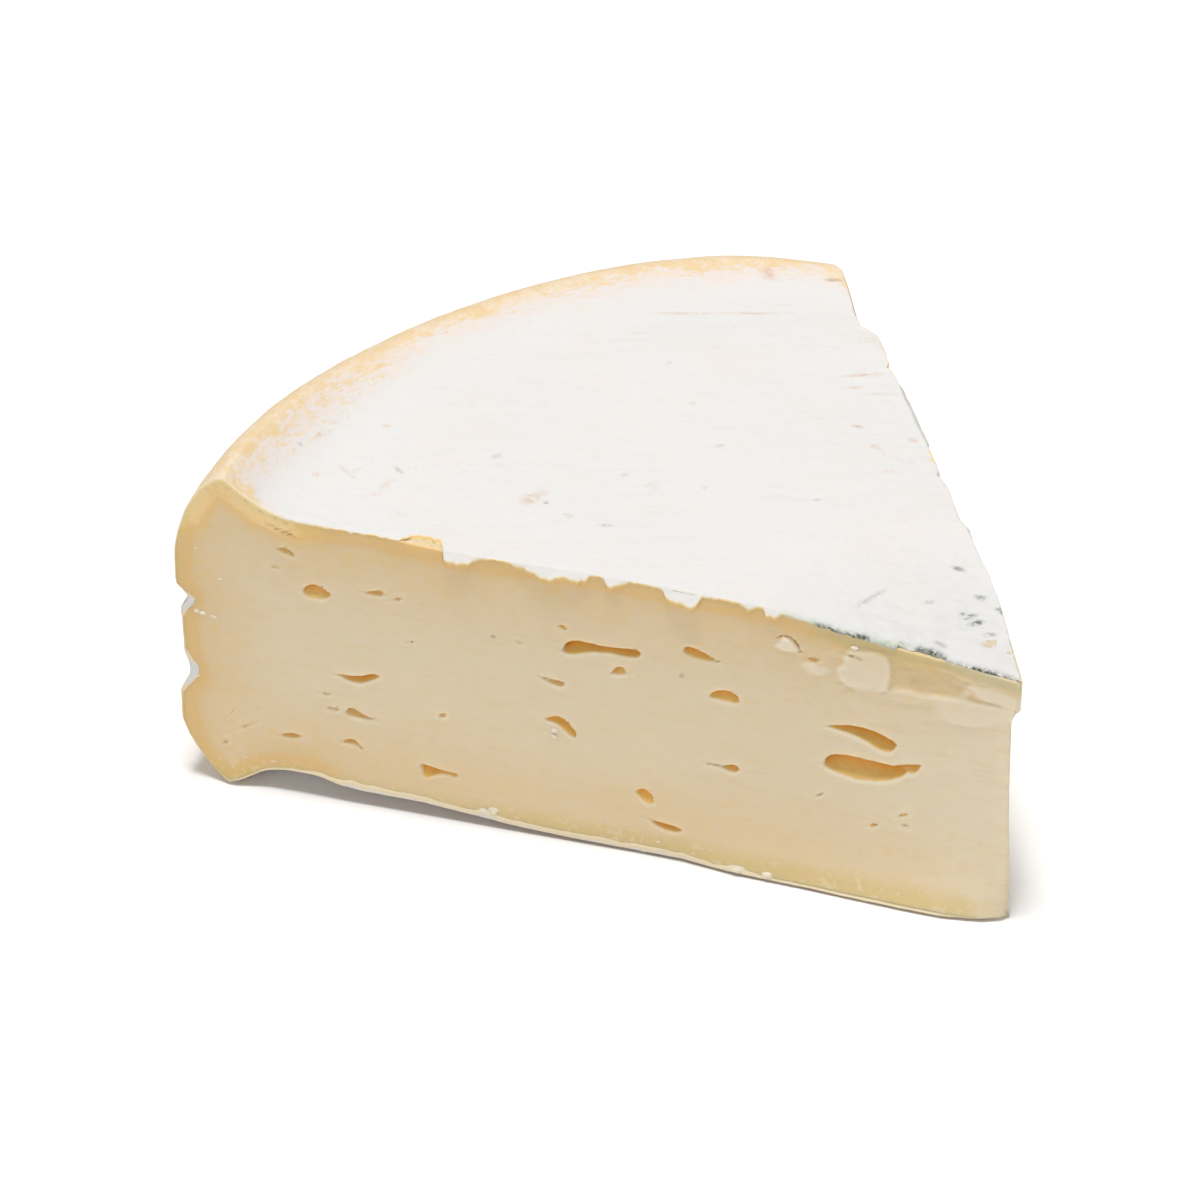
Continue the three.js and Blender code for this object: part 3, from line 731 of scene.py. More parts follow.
def pasteTones(fromTip, height, skin, secondCut):
    # Ochre fades from the rind inwards: half of it within 3 mm, the rest over 17 mm, brightest under the
    # rim's lip, where painted light lightens the paste's own ochre as it rolls up under the lip. The tip is
    # paler, olive under its rind with one pale line, and two grey points mark the first cut.
    ochre = 0.5 * np.exp(-np.maximum(0, skin - 1.6) / 1.6) + 0.5 * smooth(17, 1, skin)
    ochre = ochre * (1 - 0.45 * smooth(9, 3, height) * smooth(100, 85, fromTip))
    # the ochre under the rim's lip, lightened by painted light where the paste rolls up under it
    lip = smooth(4.5, 1.5, skin) * byRimLip(fromTip, height, paste["rimLip"])
    pale = 0.7 * smooth(34, 6, fromTip) + 0.5 * smooth(3.2, 0.4, fromTip)
    byRind = smooth(6, 14, height)
    olive = smooth(31, 24, fromTip) * bell(skin, 0.9, 1.1) * byRind
    line = smooth(14.5, 12.5, fromTip) * bell(skin, 2.1 - 0.05 * fromTip, 0.3) * byRind
    grey = 0 * height
    if not secondCut:
        for at, up in paste["greyPoints"]:
            grey = grey + bell(np.hypot(fromTip - at, height - up), 0, paste["greyWidth"])
    return {"ochre": ochre * (1 - 0.6 * smooth(14, 4, fromTip)), "pale": np.minimum(1, pale + line),
            "olive": olive * (1 - line), "grey": grey, "lip": lip}


def loopRuns(index):
    # the four runs of a face's outline, as vertex numbers: base, rim, top, tip
    return index[0], index[:, -1], index[-1, ::-1], index[::-1, 0]


def ringShares(radius, lowest, span):
    # Where the rings of the hidden sides lie, as shares of the angle between the cuts: at set distances from
    # either cut, evenly between those, and evenly all the way near the tip. Each comes with its even share.
    steps = [("front", step) for step in paste["ringSteps"]]
    steps += [("far", i) for i in range(1, paste["farRings"] + 1)]
    steps += [("back", step) for step in reversed(paste["ringSteps"])]
    start, whole = paste["farShares"]
    for number, (kind, step) in enumerate(steps, 1):
        even = number / (len(steps) + 1)
        if kind == "far":
            share = np.full_like(radius, start + whole * step / (paste["farRings"] + 1))
        else:
            turned = np.arcsin(np.minimum(1, step / np.maximum(radius, paste["leastRadius"])))
            share = np.minimum((turned - lowest) / span, 0.5)
            share = share if kind == "front" else 1 - share
        yield even, np.where(radius < paste["evenWithin"], even, share)


def makePaste(material):
    # the two cut faces, joined under the rind by rings from the first cut to the second
    front, frontValues = cutFace(False, paste["columns"], paste["rows"])
    back, backValues = cutFace(True, paste["backColumns"], paste["backRows"])
    frontIndex = np.arange(front[..., 0].size).reshape(front.shape[:2])
    backIndex = frontIndex.size + np.arange(back[..., 0].size).reshape(back.shape[:2])
    points = [front.reshape(-1, 3), back.reshape(-1, 3)]
    faces = [gridFaces(frontIndex[:, ::-1]), gridFaces(backIndex)]

    # the rings follow base, rim and top, and cross the tip's edge on straight lines between the two faces
    end, inset = section["along"][-1], paste["tipInset"]
    spans = ((end - inset, section["corner"]), (section["corner"], section["lip"]), (section["lip"], inset))
    along = [np.linspace(*span, count) for span, count in zip(spans, paste["ringCounts"])]
    along = np.concatenate([along[0][:-1], along[1][:-1], along[2]])
    radius, height, outward, upward = sectionAt(along)
    starts = np.cumsum([0] + [count - 1 for count in paste["ringCounts"]] + [paste["tipCount"] + 1])
    tipRows = [np.linspace(rows, 0, paste["tipCount"] + 2)[1:-1].astype(int)
               for rows in (paste["rows"], paste["backRows"])]
    tipFront, tipBack = front[tipRows[0], 0], back[tipRows[1], 0]
    lowest = np.arcsin(np.minimum(0.3, pasteInset(radius) / np.maximum(radius, paste["leastRadius"])))
    span = wheel["cutAngle"] - 2 * lowest
    rings = list(ringShares(radius, lowest, span))
    previousRuns = loopRuns(frontIndex)
    total = frontIndex.size + backIndex.size
    for even, share in rings:
        angle = lowest + span * share
        place = settle(radius, angle, height)
        under = paste["under"] + 0.02 * np.sin(share * math.pi)
        place[:, 0] += outward * under * np.cos(angle)
        place[:, 1] -= outward * under * np.sin(angle)
        place[:, 2] -= upward * under
        points += [place, tipFront + (tipBack - tipFront) * even]
        size = len(place) + paste["tipCount"]
        ring = total + np.arange(size + 1)
        ring[-1] = total
        currentRuns = [ring[starts[i]:starts[i + 1] + 1] for i in range(4)]
        faces += [strip(a, b) for a, b in zip(previousRuns, currentRuns)]
        previousRuns = currentRuns
        total += size
    faces += [strip(a, b) for a, b in zip(previousRuns, loopRuns(backIndex))]
    values = {}
    for key, seen in frontValues.items():
        hidden = np.full(len(radius), paste["hidden"].get(key, 0.0))
        ringValues = np.concatenate([hidden, seen[tipRows[0], 0]])
        values[key] = np.concatenate([seen.ravel(), backValues[key].ravel(), np.tile(ringValues, len(rings))])
    return makePiece("paste", np.concatenate(points), np.concatenate(faces), values, material)


def pasteFinish():
    # soft paste that light goes through, and in it the eyes, which it does not
    f = Finish("ivoryPaste", Roughness=0.5, Subsurface_Weight=paste["throughLight"],
               Subsurface_Scale=paste["throughDepth"], Subsurface_Radius=paste["throughColour"],
               Specular_IOR_Level=paste["gloss"])
    # border, shade and the amber strength place each eye's painted shade and painted amber glow
    border, shade, amberGlow = f.attribute("border"), f.attribute("shade"), f.attribute("amberGlow")
    clouds, grain, spots = f.noise(8, 3), f.noise(0.7, 3, 0.6), f.noise(1.6, 3, 0.6)
    drag = f.noise(1, 3, 0.6, (16, 16, 0.9))
    fine = f.noise(1, 3, 0.65, (5, 5, 0.35), shift=3.0)

    # cloudy ivory with drag lines, ochre near the rind, pale crumbly spots low down and a pale lip round
    # the eyes
    lip = f.rise(border, 0.9, 0.1) * f.rise(border, -0.05, 0.1) * f.rise(shade, 0.5, 1.0)
    pale = f.attribute("pale") + (clouds - 0.5) * 0.7 + (drag - 0.5) * 0.6 + (fine - 0.5) * 0.5
    pale = pale + lip * 0.8
    base = f.mix(f.rise(pale, -0.1, 1.1), paste["ivory"], paste["ivoryPale"])
    base = f.mix(f.rise(fine * 0.5 + drag * 0.3 + spots * 0.2, 0.46, 0.66) * 0.4, base, paste["golden"])
    ochre = f.attribute("ochre") * (1 + (clouds - 0.5) * 0.8 + (spots - 0.5) * 0.7 + (grain - 0.5) * 0.4)
    base = f.mix(ochre, base, paste["ochre"])
    base = f.mix(f.attribute("ochre") * f.rise(spots, 0.5, 0.75) * 0.65, base, paste["ripe"])
    banded = f.rise(f.attribute("ochre") + (spots - 0.5) * 0.3, 0.72, 0.95)
    base = f.mix(banded * 0.6, base, paste["band"])
    yellowed = f.rise(f.attribute("low") + (spots - 0.5) * 0.5, 0.35, 1.1)
    base = f.mix(yellowed * 0.55, base, paste["yellowed"])
    crumbly = f.attribute("low") * f.rise(spots + (grain - 0.5) * 0.5, 0.52, 0.68)
    base = f.mix(crumbly * 0.4, base, paste["flake"])
    # torn plates: pale with a painted highlight along their edges, golden with a painted shadow under a flake
    base = f.mix(f.attribute("flake") * (0.6 + grain * 0.5), base, paste["flake"])
    base = f.mix(f.attribute("golden") * 0.8, base, paste["golden"])
    base = f.mix(f.attribute("olive") * 0.55, base, paste["olive"])
    # brighter ochre under the rim's lip: the paste's own ochre and painted light where it rolls up under it
    bright = f.attribute("lip") * (1 + (spots - 0.5) * 0.8)
    base = f.mix(bright, base, f.mix(f.rise(bright, 0.65, 1.0), paste["lip"], paste["lipPale"]))
    base = f.mix(f.attribute("grey") * 0.8, base, paste["grey"])
    f.set(Base_Color=base, Roughness=f.rise(grain, 0.3, 0.7, 0.42, 0.6))
    f.bump(grain * 0.5 + drag * 0.3 + fine * 0.4, paste["relief"])

    # the eyes' amber, a painted glow of light through the paste, paler towards the floor where painted light
    # falls and darkest along the roof in painted shade under the overhang
    skin = f.mix(f.rise(shade + (grain - 0.5) * 0.3, 0.25, 1.0), paste["amberGlow"], paste["amberGlowPale"])
    skin = f.mix(f.rise(shade, 0.22, 0.0), skin, paste["roof"])
    inside = f.rise(border + (grain - 0.5) * 0.1, 0.08, -0.1)
    inside = inside * f.rise(shade, 1.5, 0.8) * f.rise(amberGlow, 0.0, 0.85)
    f.second(inside, skin, Roughness=0.45)
    return f.material


# Band and specks: share of the cut angle and how far in from the lip they reach. Ragged: size, depth, seed
# and layers of the noise along the edge. LipLevel, lipWide and lipTone: radius and height, each from and to.
rind = {
    "topRows": 340, "rimRows": 60, "baseRows": 100, "innerTop": 46, "innerRim": 16, "innerBase": 40,
    "edgeShare": 0.68, "proud": 0.1, "flush": 0.17, "flushReach": (0.8, 0.4), "thickness": 1.1,
    "innerInset": 1.3, "outerInset": 0.1, "pulled": 6,
    "bend": 0.4, "bendPerReach": 0.15, "leastBend": 0.3, "lobeLift": 0.65, "lobeReach": (0.3, 1.2),
    "leastReach": 0.4, "brokenBack": -0.6, "ragged": ((3.1, 0.2, 0, 2), (1.2, 0.25, 2, 2), (0.5, 0.3, 3, 1)),
    "curl": 0.25, "lobeCurl": 0.25, "curlReach": (0.35, 0.9), "curlOver": 0.5,
    "lipLevel": (93, 98, 36, 42), "lipWide": (93, 99, 35, 42), "lipTone": (93, 99, 34, 40),
    "matTurn": math.radians(16.7), "relief": 0.1, "gloss": 0.2,
    "band": ((0, 1.2), (0.1, 1.6), (0.22, 2.6), (0.34, 2.2), (0.42, 0.6), (0.5, 0.8), (0.62, 2), (0.8, 2.2),
             (1, 2.2)),
    "specks": ((0, 7.5), (0.34, 7), (0.45, 4.5), (0.6, 4), (1, 3)),
    "white": colour(220, 218, 215), "pink": colour(226, 211, 201), "ochre": colour(226, 198, 152),
    "peach": colour(227, 209, 184), "cream": colour(230, 213, 180), "gold": colour(222, 188, 122),
    "stain": colour(206, 164, 128), "bloom": colour(214, 215, 212), "hem": colour(221, 218, 213),
    "mould": colour(86, 92, 85), "green": colour(186, 196, 172), "shade": colour(200, 201, 199),
    # brown for the underside by the first cut: its own brown and painted shade for the shadow under the front
    # edge
    "under": colour(176, 138, 92),
}

# How far the rind's edge hangs over the first cut, or has broken back from it (below 0): on top and base by
# distance from the tip, down the rim by height. Then the same for the second cut.
rindEdge = {
    "top": (
        (0, -0.1), (4, -0.15), (7, -0.25), (11, -0.7), (15, -0.9), (18, -0.35), (20.5, -0.1), (22, -0.45),
        (24, 0.15), (27.5, 0.1), (31.5, 0), (32.6, 0.9), (34, 1.1), (35, 0.3), (35.6, 0.9), (36.6, 0.9),
        (38.4, 0.35), (39.5, -0.35), (41, -0.3), (42.5, 0.1), (43.3, 1.6), (44, 2), (46, 2), (47.3, 1.5),
        (48.4, 0.6), (49.6, 0.1), (50.8, -0.3), (52, 0.2), (53.5, 1.2), (55, 1.4), (56.3, 0.8), (57, -0.1),
        (58.2, 0.8), (59.5, 1.4), (62, 1.2), (63.2, 1.7), (64.2, 1.75), (66.2, 1.1), (68, 0.8), (70.5, -0.1),
        (72.2, 0.1), (73.5, 0.8), (74.4, 1.5), (77, 1.6), (77.8, 1.2), (78.3, -0.4), (79, -2.1), (82, -1.8),
        (84, -0.6), (86, 0.2), (87.5, -0.1), (90, -0.5), (93, 0.2), (95, 0.4), (99, 0.5),
    ),
    "rim": (
        (0, 0.3), (12.5, 0.35), (14.5, 0.8), (16, 1.4), (18, 1.5), (19.5, 0.9), (21, 0.4), (25.5, 0.35),
        (26.3, 0.7), (27, 1.2), (28.5, 1.3), (29.5, 0.9), (30.3, 0.4), (31.5, 0.35), (42, 0.5),
    ),
    "base": (
        (0, 0.3), (20, 0.4), (33.5, 0.5), (34.5, 0.75), (36, 0.65), (37, 1.2), (38, 0.75), (40, 0.6),
        (43, 0.9), (45, 1.05), (50, 1.15), (55, 0.95), (60, 1), (70, 0.95), (71, 1), (72, 1.5), (73.4, 1.4),
        (74.5, 0.9), (80, 0.9), (85, 1.05), (90, 1.15), (92, 1.25), (95, 0.8), (100, 0.6), (110, 0.4),
    ),
    "secondTop": (
        (0, -0.1), (12, 0.5), (24, 0.1), (30, 0.7), (34, 1.1), (37, 0.9), (40, 0.2), (43, 0.1), (46, 0.9),
        (50, 0.9), (52.5, -0.3), (55, 0.1), (57.5, 1), (61, 1.4), (66, 1.7), (71, 1.5), (75, 1.2),
        (77.5, 0.3), (82.4, 0.1), (85, 0.2), (90, 0.3), (95, 0.1), (100, 0.3), (108, 0),
    ),
    "secondRim": ((0, 0.2), (14, 0.1), (19, 0.8), (23, 0.2), (49, 0.1)),
}

# Marks on top: place from the tip, half length, half width, direction in degrees, how brown and how mouldy.
topMarks = (
    ((-46.1, 82.8), 1.4, 0.25, 12, 1, 0.25), ((-38.6, 68.2), 2, 0.4, 16, 0.5, 0),
    ((-31.6, 56.5), 1.8, 0.3, 6, 0.3, 0), ((-26.7, 36.7), 1.6, 0.4, 18, 0.45, 0),
    ((-64.6, 69.1), 3.6, 0.3, 18, 0.75, 0), ((-56.3, 71.7), 4.2, 0.28, 16, 0.75, 0),
    ((-69.5, 61.5), 1.2, 0.4, 18, 0.3, 0), ((-36.3, 60.3), 2.9, 0.32, 20, 0.8, 0.05),
    ((-36.8, 57), 1.2, 0.3, 20, 0.7, 0), ((-32.8, 56.3), 2.2, 0.35, 14, 0.3, 0.05),
    ((-38.2, 68.5), 2.4, 0.7, 16, 0.35, 0), ((-35.4, 67.9), 1.3, 0.6, -55, 0.35, 0),
    ((-33.7, 47), 0.75, 0.5, 4, 0.95, 0.15), ((-25.8, 45.7), 0.7, 0.55, 17, 0.8, 0),
    ((-30.1, 42.5), 1, 0.5, -36, 0.7, 0), ((-28.7, 41.1), 1.1, 0.25, -50, 0.3, 0),
    ((-26.4, 36.3), 1.7, 0.45, 28, 0.45, 0), ((-34.3, 26.7), 0.35, 0.35, 0, 0.5, 0.3),
    ((-70.8, 16.3), 1.9, 1.1, 62, 0.75, 0), ((-68.8, 15.7), 0.45, 0.35, 10, 0.6, 0.6),
    ((-64.8, 13.4), 0.7, 0.55, 5, 0.6, 0.1), ((-59.4, 12.6), 0.95, 0.35, 18, 0.35, 0.35),
    ((-56.8, 24.7), 0.8, 0.4, 49, 0.6, 0), ((-56, 23.6), 1.1, 0.5, 79, 0.25, 0),
    ((-49.6, 25.8), 0.35, 0.35, 0, 0.4, 0.3), ((-60.8, 26), 0.4, 0.35, 4, 0.5, 0.15),
    ((-56.9, 46.1), 0.4, 0.35, 4, 0.45, 0.1), ((-50.4, 36.6), 0.5, 0.4, 24, 0.2, 0.3),
    ((-78.4, 24.1), 0.8, 0.4, 60, 0.1, 0.3), ((-62.9, 54.8), 0.4, 0.35, 43, 0.45, 0.1),
    ((-55.6, 81.3), 1.2, 0.9, -39, 0.85, 0), ((-99.9, 12.1), 0.5, 0.5, 13, 0.8, 0),
    ((-96.7, 14.6), 1.3, 0.4, -37, 0.45, 0), ((-95.3, 15.1), 1.3, 0.35, 70, 0.35, 0),
    ((-95.1, 13.4), 0.9, 0.3, -36, 0.4, 0), ((-90.1, 12.8), 1.4, 0.6, 70, 0.5, 0),
    ((-90.6, 10.2), 1, 0.7, 66, 0.3, 0), ((-86.7, 6), 1.1, 0.9, 12, 0.4, 0),
    ((-103.8, 16.8), 0.35, 0.35, 40, 0, 0.5), ((-95.3, 27.3), 0.7, 0.4, 10, 0.7, 0),
    ((-101.7, 24.2), 1, 0.35, 73, 0.8, 0), ((-102.4, 20.8), 1.3, 0.3, 76, 0.7, 0),
    ((-101.6, 22.2), 1.8, 0.3, 76, 0.6, 0), ((-89.7, 16.5), 0.8, 0.3, -40, 0.3, 0.3),
    ((-13, 18.7), 0.75, 0.4, 4, 0, 0.8), ((-22.4, 8.7), 2.7, 0.35, 61, 0, 0.4),
    ((-8.9, 14.3), 0.7, 0.4, 10, 0, 0.65), ((-10, 10.4), 0.8, 0.35, -41, 0, 0.9),
    ((-9.1, 10.8), 0.9, 0.35, 52, 0, 0.9), ((-8.1, 9.7), 1.1, 0.45, 34, 0, 1),
    ((-5.7, 12.7), 0.8, 0.45, -37, 0, 0.9), ((-5.9, 5.9), 0.8, 0.7, 21, 0.8, 0),
    ((-11.7, 3.5), 0.9, 0.4, -18, 0, 0.4), ((-15, 11), 0.6, 0.35, 30, 0, 0.35),
    ((-6, 8), 0.7, 0.3, 15, 0, 0.5),
)

# mould along the rind's edge beside the tip, by distance from the tip: how dark, and how green
edgeMould = ((0, 0.5), (2.5, 0.6), (7.5, 0.9), (8, 0.5), (11.2, 0.5), (11.8, 1), (14, 0.9), (14.6, 0.15),
             (20, 0.15), (20.6, 0.9), (22, 1), (24.5, 0.55), (27, 0.9), (28, 0))
edgeGreen = ((0, 0.1), (13, 0.2), (15, 0.8), (19, 0.8), (20.5, 0.3), (27, 0.3), (28, 0.7), (31, 0.5),
             (33.5, 0))


def hemReach(along, second):
    # how far the rind's edge runs past the knife line at a length along the section, plus ragged noise that
    # is calmer on base and rim
    radius, height, _, _ = sectionAt(along)
    onTop, onBase = along < section["lip"], along > section["corner"]
    top, rim = (rindEdge[key] for key in (("secondTop", "secondRim") if second else ("top", "rim")))
    reach = np.interp(height, *zip(*rim))
    reach = np.where(onTop, np.interp(radius, *zip(*top)), reach)
    reach = np.where(onBase, np.interp(radius, *zip(*rindEdge["base"])), reach)
    seed = 95 if second else 91
    ragged = sum(depth * noiseAlong(along, size, seed + shift, layers)
                 for size, depth, shift, layers in rind["ragged"])
    calm = np.where(onTop, 1, np.where(onBase, 0.6, 0.3)) * (1 - 0.85 * smooth(98, 106, radius) * onTop)
    end = section["along"][-1]
    if not second:
        unbroken = onTop & (reach > rind["brokenBack"])
        reach = np.where(unbroken, np.maximum(reach, rind["leastReach"]), reach)
    return (reach + ragged * calm) * smooth(0, 4, along) * smooth(end, end - 4, along)


def pulledOver(inside, reach):
    # a sheet drawn out to its edge: inside - reach (1 - inside / pulled)^2
    return inside - reach * np.maximum(0, 1 - inside / rind["pulled"]) ** 2


def foldEdge(inside, reach, lifted, tight):
    # A sheet's edge bent over a cut: the distance inside the cut after bending, how far it has sunk, the
    # angle it has turned, and its distance from the sheet's end. It runs flat, round an arc, then straight
    # on; where it reaches far over the top's edge it stands off the cut.
    stretched = pulledOver(inside, reach)
    bend = np.maximum(rind["leastBend"], rind["bend"] + rind["bendPerReach"] * reach) * tight
    steepest = math.pi / 2 - rind["lobeLift"] * smooth(*rind["lobeReach"], reach) * lifted
    turn = np.clip((bend - stretched) / bend, 0, steepest)
    straight = np.maximum(0, bend * (1 - steepest) - stretched)
    held = rind["proud"] + rind["flush"] * smooth(*rind["flushReach"], reach) * (1 - lifted)
    moved = np.where(stretched > bend, stretched, bend * (1 - np.sin(turn)) + held * np.sin(turn))
    sunk = bend * (1 - np.cos(turn)) + straight * np.sin(turn)
    return moved - straight * np.cos(turn), sunk, turn, stretched + reach


def rindSheet(along, counts, frontReach, backReach, under, folded):
    # One sheet over top, rim and base: a row of vertices for each length along the section, spread from the
    # first cut to the second and closer together beside both, f - k sin(2 pi f) / (2 pi). The folded edge's
    # arc is tighter round the base and wider at the rim's lip.
    row = np.repeat(np.arange(len(counts)), counts)
    first = np.cumsum(counts) - counts
    place = np.arange(counts.sum()) - first[row]
    f = np.where(counts[row] > 1, place / np.maximum(counts[row] - 1, 1), 0.5)
    share = f - rind["edgeShare"] * np.sin(2 * math.pi * f) / (2 * math.pi)
    angle = wheel["cutAngle"] * share
    radius, height, outward, upward = (value[row] for value in sectionAt(along))
    points = settle(radius, angle, height)
    normal = np.stack([-outward * np.cos(angle), outward * np.sin(angle), upward], -1)
    inFront, inBack = points[:, 1].copy(), secondCutDistance(points)
    lifted = smooth(98, 93, radius) * (along[row] < section["lip"])
    if folded:
        tight = 1 - 0.5 * smooth(section["corner"] - 2, section["corner"] + 1, along[row])
        tight = tight + 0.5 * byRimLip(radius, height, rind["lipWide"])
        movedFront, dropFront, turnFront, endFront = foldEdge(inFront, frontReach[row], lifted, tight)
        movedBack, dropBack, turnBack, endBack = foldEdge(inBack, backReach[row], lifted, tight)
    else:
        movedFront, movedBack = pulledOver(inFront, frontReach[row]), pulledOver(inBack, backReach[row])
        dropFront = dropBack = turnFront = turnBack = 0 * angle
        endFront = endBack = 9 + 0 * angle
    curl = (rind["curl"] + rind["lobeCurl"] * lifted) * (1 - byRimLip(radius, height, rind["lipLevel"]))
    curlFront, curlBack = (
        curl * smooth(*rind["curlReach"], reach[row]) * np.maximum(0, 1 - end / rind["curlOver"]) ** 2
        for reach, end in ((frontReach, endFront), (backReach, endBack))
    )
    sunk = under + dropFront + dropBack + curlFront * np.cos(turnFront) + curlBack * np.cos(turnBack)
    points[:, 1] += movedFront - inFront + curlFront * np.sin(turnFront)
    points[:, :2] -= (movedBack - inBack + curlBack * np.sin(turnBack))[:, None] * outSecond
    points -= normal * sunk[:, None]
    facing = normal * (np.cos(turnFront) * np.cos(turnBack))[:, None]
    facing[:, 1] -= np.sin(turnFront)
    facing[:, :2] += outSecond * np.sin(turnBack)[:, None]
    sheet = {"share": share, "along": along[row], "radius": radius, "height": height, "inFront": inFront,
             "inBack": inBack, "endFront": endFront, "endBack": endBack, "round": radius * angle,
             "hang": np.sin(np.maximum(turnFront, turnBack))}
    return points, first, facing, sheet


def rindRelief(points, sheet):
    # Soft lumps, lines pressed by the draining mat, fine grain, hoop lines down the rim, and crumpled skin
    # towards the tip. Returns the relief and how much painted shade each point gets: full in a crease, half
    # over the crumpled skin.
    cos, sin = math.cos(rind["matTurn"]), math.sin(rind["matTurn"])
    turned = points @ np.array([[cos, -sin, 0], [sin, cos, 0], [0, 0, 1]])
    relief = 0.1 * noise(points, 9, 81, 2) + 0.05 * noise(turned, (12, 1.5, 6), 83, 2)
    relief = relief + 0.05 * noise(points, 1.5, 85, 2)
    below = smooth(section["corner"] - 4, section["corner"], sheet["along"])
    rim = smooth(section["lip"] + 2, section["lip"] + 8, sheet["along"]) * (1 - below)
    relief = relief + rim * 0.07 * noise(points, (30, 30, 1.1), 89, 2)
    onTop = sheet["along"] < section["lip"]
    crumpled = smooth(34, 12, sheet["radius"]) * onTop
    fold = np.abs(noise(turned, (4.2, 2.4, 4), 87, 3))
    crease = smooth(0.3, 0.0, fold) * crumpled
    crumples = 0.22 * noise(points, 3.4, 88, 3) + 0.06 * noise(points, 0.8, 90)
    relief = relief - 0.2 * crease + crumpled * crumples
    edge = smooth(5, 1, np.minimum(sheet["endFront"], sheet["endBack"])) * onTop
    relief = relief + edge * 0.16 * noise(points, 1.7, 92, 3)
    relief = (relief - 0.12) * (1 - 0.7 * below) * (1 - 0.4 * sheet["hang"])
    # the second value is painted shade: full in a crease, half over the crumpled skin
    return relief - 0.06 * sheet["hang"], np.maximum(crease, 0.5 * crumpled)


def markTones(points, onTop):
    # the strongest of the marks at each point: 1 within the mark's ellipse, fading over its ragged border;
    # fainter away from the tip
    ragged = 0.5 * noise(points, 0.8, 101, 3)
    strength = 0.85 + 0.15 * smooth(24, 16, np.hypot(points[:, 0], points[:, 1]))
    stain, mould = 0 * ragged, 0 * ragged
    for (x, y), halfLength, halfWidth, direction, brown, dark in topMarks:
        cos, sin = math.cos(math.radians(direction)), math.sin(math.radians(direction))
        right, up = points[:, 0] - x, points[:, 1] - y
        out = np.hypot((right * cos + up * sin) / halfLength, (up * cos - right * sin) / halfWidth)
        share = smooth(1.6, 0.2, out + ragged) * onTop * strength
        stain, mould = np.maximum(stain, brown * share), np.maximum(mould, dark * share)
    return stain, mould


def rindTones(points, sheet, crease):
    # What the shader reads at each point. Bare is how far (mm) past the inner edge of the bare band it lies,
    # and specks how far out among the scattered flecks. The rest run from 0 to 1: how gold the cut edge is,
    # how brown the underside's edge is (its own brown and painted shade under the front edge), how stained,
    # mouldy and green the skin is, how dark the painted shade in its creases and crumples is, how far it is
    # grown over with white, and how far it hangs. Round and along are lengths (mm) round the rim and along
    # the section.
    along, share, fromTip = sheet["along"], sheet["share"], sheet["radius"]
    inFront, endFront = sheet["inFront"], sheet["endFront"]
    below = smooth(section["corner"] - 3, section["corner"] + 1, along)
    corner = smooth(97, 104, fromTip) * smooth(4, 0.5, inFront + 1.5 * noise(points, 2.2, 105, 2))
    bare = along - section["lip"] + np.interp(share, *zip(*rind["band"]))
    bare = bare + 4 * smooth(99, 106, fromTip) * smooth(3, 0.5, sheet["inBack"] + noise(points, 2.2, 105, 2))
    specks = np.clip(1 + bare / np.interp(share, *zip(*rind["specks"])), 0, 1) * (1 - below)
    bare = (bare + 7 * corner) * (1 - below) - 9 * below
    # brown on the underside by the first cut: the rind's own brown edge and painted shade for the brown
    # shadow under the front edge
    under = below * smooth(4, 1, inFront) * smooth(0.8, 0.3, sheet["hang"])

    # white growth in the two hollows of the rim
    onTop = along < section["lip"] + 2
    patches = 0.75 * smooth(-0.15, 0.4, noise(points, 7, 107, 2))
    bloom = (1 - onTop) * (1 - below) * np.maximum(patches, smooth(3, 1.5, endFront))
    bloom = bloom * np.maximum(bell(sheet["height"], 17, 3.2), bell(sheet["height"], 28, 2.2))

    # marks on top, and mould, green and a stain along the edge over the first cut
    stain, mould = markTones(points, onTop)
    onEdge = onTop * (inFront < sheet["inBack"])
    patchy = 0.55 + 0.45 * noise(points, 1.1, 103, 2)
    edge = bell(endFront, 0.3, 0.75) * onEdge * (0.3 + patchy) * 1.5
    mould = np.maximum(mould, np.interp(fromTip, *zip(*edgeMould)) * edge)
    green = np.interp(fromTip, *zip(*edgeGreen)) * bell(endFront, 0.6, 0.9) * onEdge
    stain = np.maximum(stain, 0.9 * bell(fromTip, 5, 3.5) * bell(endFront, 0.1, 0.4) * onEdge)

    # the cut edge: gold, and white where it hangs, but not at the rim's lip
    end = np.minimum(endFront, sheet["endBack"])
    width = 0.8 + 0.8 * corner + 0.7 * below
    atLip = byRimLip(fromTip, sheet["height"], rind["lipTone"])
    gold = smooth(width, 0.1 * width, end) * (1 - bloom) * (1 - 0.9 * smooth(33, 27, fromTip) * (1 - below))
    gold = gold * (1 - 0.55 * below) * (1 - 0.8 * atLip * (1 - sheet["hang"]))
    hang = sheet["hang"] * onTop * smooth(0, 0.7, end) * (1 - atLip)
    return {"bare": bare, "specks": specks, "gold": gold, "under": under, "stain": stain,
            "mould": np.minimum(mould, 1), "green": green, "crease": crease, "bloom": bloom, "hang": hang,
            "round": sheet["round"], "along": along}


def sheetRows(topRows, rimRows, baseRows):
    # lengths along the section from the tip over lip and corner back to the tip, and the vertices in each row
    top = np.linspace(0, section["lip"], topRows + 1)
    rim = np.linspace(section["lip"], section["corner"], rimRows + 1)[1:-1]
    base = np.linspace(section["corner"], section["along"][-1], baseRows + 1)
    counts = [np.arange(1, topRows + 2), np.full(rimRows - 1, topRows + 1)]
    counts.append(np.round(np.linspace(topRows + 1, 1, baseRows + 1)).astype(int))
    return np.concatenate([top, rim, base]), np.concatenate(counts)


